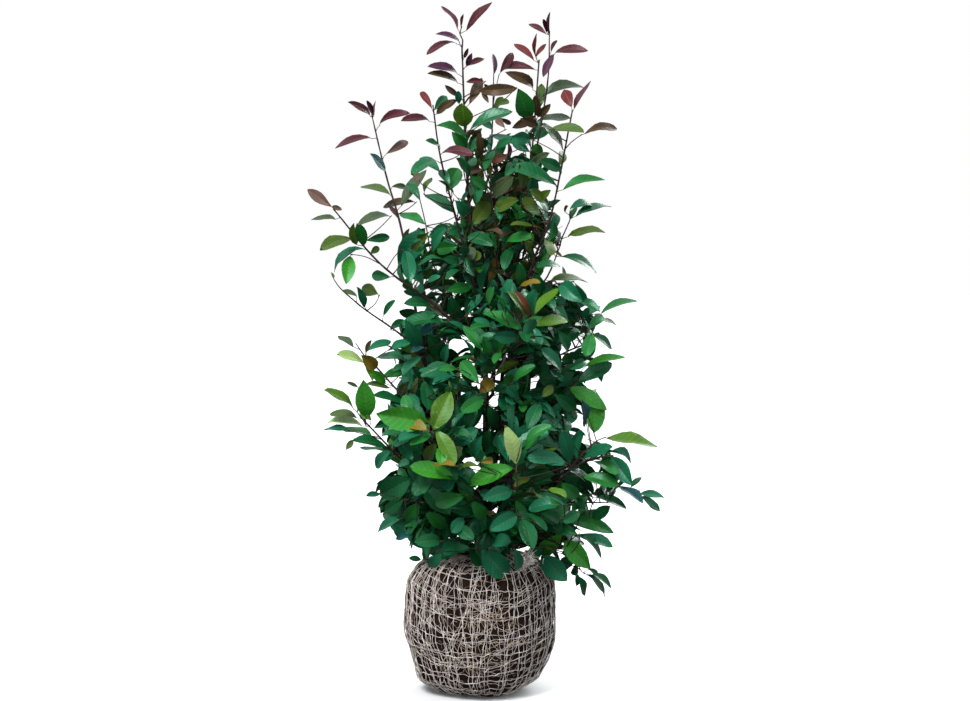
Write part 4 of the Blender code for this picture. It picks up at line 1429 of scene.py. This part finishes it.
def makeSoil(material):
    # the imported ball's own skin, made finer and broken into clods
    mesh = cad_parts["root_ball"].data.copy()
    mesh.name = "soil"
    piece = bpy.data.objects.new("soil", mesh)
    bpy.context.scene.collection.objects.link(piece)
    bpy.ops.object.select_all(action="DESELECT")
    piece.select_set(True)
    bpy.context.view_layer.objects.active = piece
    bpy.ops.object.mode_set(mode="EDIT")
    bpy.ops.mesh.select_all(action="SELECT")
    bpy.ops.mesh.remove_doubles(threshold=soil["merge"])
    bpy.ops.object.mode_set(mode="OBJECT")
    remesh = piece.modifiers.new("evenFaces", "REMESH")
    remesh.mode = "VOXEL"
    remesh.voxel_size = soil["voxel"]
    bpy.ops.object.modifier_apply(modifier=remesh.name)
    smooth = piece.modifiers.new("soften", "SMOOTH")
    smooth.factor = 0.5
    smooth.iterations = soil["rounding"]
    bpy.ops.object.modifier_apply(modifier=smooth.name)
    for vertex in piece.data.vertices:
        vertex.co = settled(vertex.co)
    rounded = piece.data.copy()
    rounded.name = "roundedBall"
    pushOut(piece.data, soilRelief)
    bpy.ops.object.shade_smooth()
    piece.data.materials.clear()
    piece.data.materials.append(material)
    return piece, rounded


def settled(place):
    # broad shoulders, a foot that has spread on the floor, and above it, mostly at the left, a drawn-in band
    height, share = soil["foot"]
    low = max(0.0, 1 - place.z / height)
    wider = 1 + share * low ** 2
    bottom, top, share = soil["shoulder"]
    wider += share * min(1.0, max(0.0, (place.z - bottom) / (top - bottom)))
    lean = place.x / max(0.01, math.hypot(place.x, place.y))
    level, reach, share = soil["tuck"]
    wider -= share * max(0.0, 1 - ((place.z - level) / reach) ** 2) ** 2 * (1 - lean)
    return Vector((place.x * wider, place.y * wider, place.z))


def soilRelief(place):
    if place.z < soil["level"]:
        return 0.0
    closeness, sunk, height = soil["clods"]
    clod = noise.noise(place * closeness) - sunk
    closeness, crumb = soil["crumbs"]
    return height * clod + crumb * noise.noise(place * closeness)


def surfaceOf(mesh):
    points = [vertex.co.copy() for vertex in mesh.vertices]
    return BVHTree.FromPolygons(points, [tuple(face.vertices) for face in mesh.polygons])


def onBall(surface, angle, fall, stand):
    # angle goes round the ball, fall from 0 at the top to pi underneath
    middle = Vector(net["middle"])
    way = Vector((math.cos(angle) * math.sin(fall), math.sin(angle) * math.sin(fall), math.cos(fall)))
    hit = surface.ray_cast(middle + way, -way)[0]
    place = hit + way * stand
    place.z = max(place.z, net["strand"] * net["floorGap"])
    return place


def aroundBall(place):
    # the angle and fall of a point seen from the ball's middle
    gap = place - Vector(net["middle"])
    return math.atan2(gap.y, gap.x), math.acos(gap.z / gap.length)


def wander(a, b, c, size):
    return size * noise.noise(Vector((a, b, c)))


def curled(angle, fall, turn, drop, curl, steps):
    # a short strand's points, from one end to the other
    return [(angle + turn * t / steps, fall + drop * t / steps + curl * math.sin(math.pi * t / steps))
            for t in range(steps + 1)]


class Netting:
    # lays the twine, threads and fibres on the ball's skin
    def __init__(self, surface):
        self.surface = surface
        self.twine, self.threads, self.fibres = (TubeHeap(sides) for sides in net["sides"])
        self.pick = random.Random(net["seed"])
        self.knot = aroundBall(spot(*net["burst"], net["frontDepth"]))

    def lay(self, heap, points, girth, sort, number):
        number += net["starts"][sort]
        step, between, liftStep = net["numberStep"]
        around, down, stray, least = net["stray"]
        first, last = net["reachDown"]
        closeness, mean, extent, lowest = net["lift"]
        path = []
        for angle, fall in points:
            angle += wander(angle * around, fall * down, number * step, stray) / max(least, math.sin(fall))
            fall += wander(angle * around, fall * down, number * step + between, stray)
            fall = min(last * math.pi, max(first * math.pi, fall))
            lift = mean + wander(angle * closeness, fall * closeness, number * liftStep, extent)
            path.append(onBall(self.surface, angle, fall, max(lowest, lift)))
        closeness, size = net["lumps"]
        heap.add(path, [girth * (1 + size * noise.noise(place * closeness)) for place in path])

    def meridians(self):
        pick = self.pick
        for number in range(net["meridians"] + net["fineMeridians"]):
            fine = number >= net["meridians"]
            angle = 2 * math.pi * (number + pick.uniform(*net["jitter"])) / net["meridians"]
            sway, phase = pick.uniform(*net["sway"]), pick.uniform(*anyTurn)
            slope = pick.gauss(0, net["slope"])
            top = math.pi * net["collar"] * pick.uniform(*net["collarRange"])
            foot = math.pi * pick.uniform(*net["meridianFoot"])
            if fine:
                atTop, atFoot = net["fineCut"]
                top += pick.uniform(*atTop) * (number % 2)      # every other one starts at the collar
                foot -= pick.uniform(*atFoot)
                slope *= net["fineSlope"]
            if foot - top < net["shortest"]:
                continue
            steps = round((foot - top) / net["stretch"])
            points = []
            for step in range(steps + 1):
                fall = top + (foot - top) * step / steps
                aside = slope * (fall - net["slopeCentre"])
                points.append((angle + aside + sway * math.sin(net["swayWaves"] * fall + phase), fall))
            girth = net["thread" if fine else "strand"] * pick.uniform(*net["girthRange"])
            self.lay(self.threads if fine else self.twine, points, girth, "meridians", number)

    def hoops(self):
        pick = self.pick
        first, band = net["hoopBand"]
        wholeTilt, fineTilt = net["hoopTilt"]
        for number in range(net["hoops"] + net["fineHoops"]):
            fine = number >= net["hoops"]
            along = ((number % net["hoops"]) + pick.uniform(*net["hoopJitter"])) / net["hoops"]
            level = math.pi * (first + band * along)
            phase, start = pick.uniform(*anyTurn), pick.uniform(*anyTurn)
            length = pick.uniform(*net["hoopLength"]) if fine else 2 * math.pi
            most = fineTilt if fine else wholeTilt
            tilt = pick.uniform(-most, most)
            steps = round(length / net["hoopStretch"])
            points = []
            for step in range(steps + 1):
                angle = start + length * step / steps
                sag = sum(size * math.sin(count * angle + phase) for count, size in net["hoopSag"])
                rise = net["sideRise"] * abs(math.cos(angle)) ** 3 * math.sin(level)
                points.append((angle, level + sag - rise + tilt * math.sin(angle + phase)))
            girth = net["thread" if fine else "strand"] * pick.uniform(*net["hoopGirth"])
            self.lay(self.threads if fine else self.twine, points, girth, "hoops", number)

    def slants(self):
        pick = self.pick
        count, steps, heights, (turn, drop, curl), girths = net["slants"]
        for number in range(count):
            angle, fall = pick.uniform(*anyTurn), math.acos(pick.uniform(*heights))
            form = pick.uniform(-turn, turn), pick.uniform(-drop, drop), pick.uniform(-curl, curl)
            heap = self.threads if number % 5 else self.twine
            points = curled(angle, fall, *form, steps)
            self.lay(heap, points, net["thread"] * pick.uniform(*girths), "slants", number)

    def looseFibres(self):
        # brown ones caught under the net, some of them round the knot
        pick = self.pick
        count, steps, heights, (turn, drop, curl) = net["fibres"]
        aside, down = net["burstFibres"]
        for number in range(count):
            angle, fall = pick.uniform(*anyTurn), math.acos(pick.uniform(*heights))
            if number % 6 == 0:
                angle, fall = self.knot[0] + pick.gauss(0, aside), self.knot[1] + pick.gauss(0, down)
            form = pick.uniform(-turn, turn), pick.uniform(-drop, drop), pick.uniform(-curl, curl)
            points = curled(angle, fall, *form, steps)
            self.lay(self.fibres, points, net["thread"] * net["fibre"], "fibres", number)

    def burst(self):
        pick = self.pick
        count, steps = net["burstCount"]
        for number in range(count):
            turn = 2 * math.pi * number / count + pick.uniform(*net["burstJitter"])
            far = pick.uniform(*net["burstReach"])
            points = curled(*self.knot, far * math.cos(turn), far * math.sin(turn), 0.0, steps)
            heap = self.twine if number % 2 else self.threads
            self.lay(heap, points, net["thread"] * net["burstGirth"], "burst", number)

    def tuft(self):
        pick = self.pick
        rim = spot(*net["tuft"], net["frontDepth"])
        thick, thin = net["tuftGirth"]
        sideways, deep, upward = net["tuftSpread"]
        for number in range(net["tuftCount"]):
            place = rim + Vector((pick.gauss(*sideways), pick.uniform(*deep), pick.gauss(*upward)))
            way = Vector([pick.uniform(*extent) for extent in net["tuftWay"]]).normalized()
            size = pick.uniform(*net["tuftSize"])
            ends = [place + way * size * share + Vector([pick.uniform(*net["tuftCurl"]) for _ in range(3)])
                    for share in (0.0, 0.33, 0.66, 1.0)]
            path = smoothPath(ends, net["tuftStep"])
            heap = self.twine if number % 5 else self.threads
            heap.add(path, taper(len(path), net["strand"] * thick, net["strand"] * thin))


def makeNet(surface):
    netting = Netting(surface)
    netting.meridians()
    netting.hoops()
    netting.slants()
    netting.looseFibres()
    netting.burst()
    netting.tuft()
    pale = netMaterial("netTwine", *net["twineColours"])
    dull = netMaterial("netThread", *net["threadColours"])
    brown = netMaterial("rootFibre", *net["fibreColours"])
    keep(netting.twine.make("net", pale), "net")
    keep(netting.threads.make("netThreads", dull), "net")
    keep(netting.fibres.make("rootFibres", brown), "net")


def soilMaterial():
    recipe = Recipe("dampSoil")
    patches = recipe.noise(*soil["patches"])
    grit = recipe.noise(*soil["grit"])
    shade = recipe.blend(patches ** soil["contrast"], *soil["colours"])
    relief = recipe.bump(patches + soil["gritShare"] * grit, *soil["bump"])
    return recipe.finish(Base_Color=shade, Roughness=0.95, Specular_IOR_Level=0.1, Normal=relief)


def netMaterial(name, dark, light):
    recipe = Recipe(name)
    fray = recipe.noise(*net["fray"])
    low, high = net["patchRange"]
    sockets = {"Value": recipe.noise(*net["patches"]), "From Min": low, "From Max": high}
    shade = recipe.blend(recipe.node("ShaderNodeMapRange", None, sockets), dark, light)
    return recipe.finish(Base_Color=shade, Roughness=0.85, Specular_IOR_Level=0.25,
                         Normal=recipe.bump(fray, *net["bump"]))


# putting it together
def keep(piece, recordSlot, *nodes):
    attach(piece, "root")
    if nodes:
        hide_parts(*nodes)


def buildLimbs():
    planLimbs()
    oldBark = barkMaterial("bark", *bark["old"])
    for name in limbPaths:
        keep(makeLimb(name, oldBark), "bark", name)
    print("limbs", len(limbPaths))


def buildFoliage():
    growPlannedShoots()
    growInnerLeaves()
    print("planned shoots and leaves", len(shoots), sum(len(leaves) for _, leaves in innerLeaves.values()))
    growCrown()
    foliage = foliageNodes()
    for kind, heap in leafHeaps.items():
        young = kind in youngKinds
        points, faces, *layers = heap.points()
        piece = meshFromArrays("leaves_" + kind, points, faces, bladeMaterials(kind, young), *layers)
        keep(piece, "young_leaf" if young else "leaf", *foliage)
        print("leaves", kind, len(heap.rows))
    keep(twigs.make("twigs", barkMaterial("youngBark", *bark["young"])), "bark")
    keep(stalks.make("leafStalks", stalkMaterial()), "young_leaf")
    print("twigs and stalks", len(twigs.faces), len(stalks.faces))


def bladeMaterials(kind, young):
    # top, underside and rib, in the order of a blade's parts
    look = leafKinds[kind]
    own, share = bladeLook["ribShare"]
    ribColour = tuple(own * part + share * pale for part, pale in zip(look["top"], bladeLook["ribPale"]))
    sheen = bladeLook["youngSheen" if young else "sheen"]
    gloss = bladeLook["youngGloss" if young else "gloss"]
    return [bladeMaterial(kind + "Top", look["top"], look["rough"], gloss, sheen),
            bladeMaterial(kind + "Under", look["under"], *bladeLook["under"], sheen),
            bladeMaterial(kind + "Rib", ribColour, *bladeLook["rib"], sheen)]


def stalkMaterial():
    recipe = Recipe("leafStalk")
    shade = recipe.blend(recipe.noise(stalkShape["patches"]), *stalkShape["colours"])
    return recipe.finish(Base_Color=shade, Roughness=0.5)


def buildBall():
    piece, rounded = makeSoil(soilMaterial())
    keep(piece, "soil", "root_ball")
    makeNet(surfaceOf(rounded))
    print("root ball")


# floor and light
studio = {
    # place, size, power and how much of it shows in reflections
    "lamps": (((-1.62, -2.9, 4.4), 2.0, 296, 0.55),
              ((1.9, 2.7, 2.6), 1.7, 66, 0.0),
              ((0.7, -5.4, 0.9), 2.2, 70, 0.0)),
    "aim": (0.0, 0.0, 0.85),
    "sky": ((0.0, (0.07, 0.08, 0.08)), (0.46, (0.25, 0.28, 0.28)), (0.62, (0.50, 0.56, 0.59)),
            (1.0, (0.94, 1.04, 1.12))),
    "floorSize": 90,
    "floorColour": (0.8, 0.79, 0.78),
    # glow of the floor close to the ball, around it and far off, with the distances: the low glow close to
    # the ball is a painted contact shadow
    "floorGlowAndPaintedShadow": ((0.12, 0.0), (0.16, 0.15), (0.22, 0.42), (0.60, 0.50), (1.60, 0.72)),
    "glowReach": 2,         # metres that the glow's ramp spans
    # where the painted shadow centres, a little to the left of the ball and towards the eye
    "glowAndShadowMiddle": (-0.035, -0.03, 0.0),
}


def addLamp(place, size, power, shine):
    bpy.ops.object.light_add(type="AREA", location=place)
    lamp = bpy.context.object
    lamp.data.size = size
    lamp.data.energy = power
    lamp.data.specular_factor = shine
    aim = Vector(studio["aim"]) - lamp.location
    lamp.rotation_euler = aim.to_track_quat("-Z", "Y").to_euler()


def addFloor():
    bpy.ops.object.select_all(action="DESELECT")
    bpy.ops.mesh.primitive_plane_add(size=studio["floorSize"], location=(0, 0, 0))
    floor = bpy.context.object
    floor.name = "floor"
    floor.visible_diffuse = False       # it shows and takes shadow, but throws no light up
    floor.visible_glossy = False
    recipe = Recipe("paleFloorWithPaintedShadow")
    sockets = {0: recipe.place(), 1: studio["glowAndShadowMiddle"]}
    gap = recipe.node("ShaderNodeVectorMath", {"operation": "SUBTRACT"}, sockets)
    far = recipe.node("ShaderNodeVectorMath", {"operation": "LENGTH"}, {0: gap}, 1)
    reach = studio["glowReach"]
    # the glow falls off close to the ball: a painted contact shadow on the floor
    stops = [(away / reach, (glowAndShadow, glowAndShadow, glowAndShadow)) for away, glowAndShadow in studio["floorGlowAndPaintedShadow"]]
    glowAndShadow = recipe.node("ShaderNodeValToRGB", {"stops": stops}, {"Fac": far * (1 / reach)})
    floor.data.materials.append(recipe.finish(Base_Color=studio["floorColour"], Roughness=0.9,
                                              Emission_Color=glowAndShadow, Emission_Strength=1.0))


def addSky():
    # soft light from above, and plain white where the camera sees past the floor
    world = bpy.data.worlds.new("softStudio")
    bpy.context.scene.world = world
    world.use_nodes = True
    nodes, links = world.node_tree.nodes, world.node_tree.links
    direction = nodes.new("ShaderNodeTexCoord")
    split = nodes.new("ShaderNodeSeparateXYZ")
    level = nodes.new("ShaderNodeMapRange")
    level.inputs["From Min"].default_value = -1.0
    ramp = nodes.new("ShaderNodeValToRGB")
    setStops(ramp.color_ramp.elements, studio["sky"])
    plain = nodes.new("ShaderNodeBackground")
    plain.inputs["Color"].default_value = (1.0, 1.0, 1.0, 1.0)
    seen = nodes.new("ShaderNodeLightPath")
    choose = nodes.new("ShaderNodeMixShader")
    links.new(direction.outputs["Generated"], split.inputs["Vector"])
    links.new(split.outputs["Z"], level.inputs["Value"])
    links.new(level.outputs["Result"], ramp.inputs["Fac"])
    links.new(ramp.outputs["Color"], nodes["Background"].inputs["Color"])
    links.new(seen.outputs["Is Camera Ray"], choose.inputs["Fac"])
    links.new(nodes["Background"].outputs["Background"], choose.inputs[1])
    links.new(plain.outputs["Background"], choose.inputs[2])
    links.new(choose.outputs["Shader"], nodes["World Output"].inputs["Surface"])


def addStage():
    addFloor()
    addSky()
    for lamp in studio["lamps"]:
        addLamp(*lamp)
    bpy.context.scene.view_settings.view_transform = "Standard"
    print("floor, sky and lamps")


addCamera()
buildLimbs()
buildFoliage()
buildBall()
addStage()
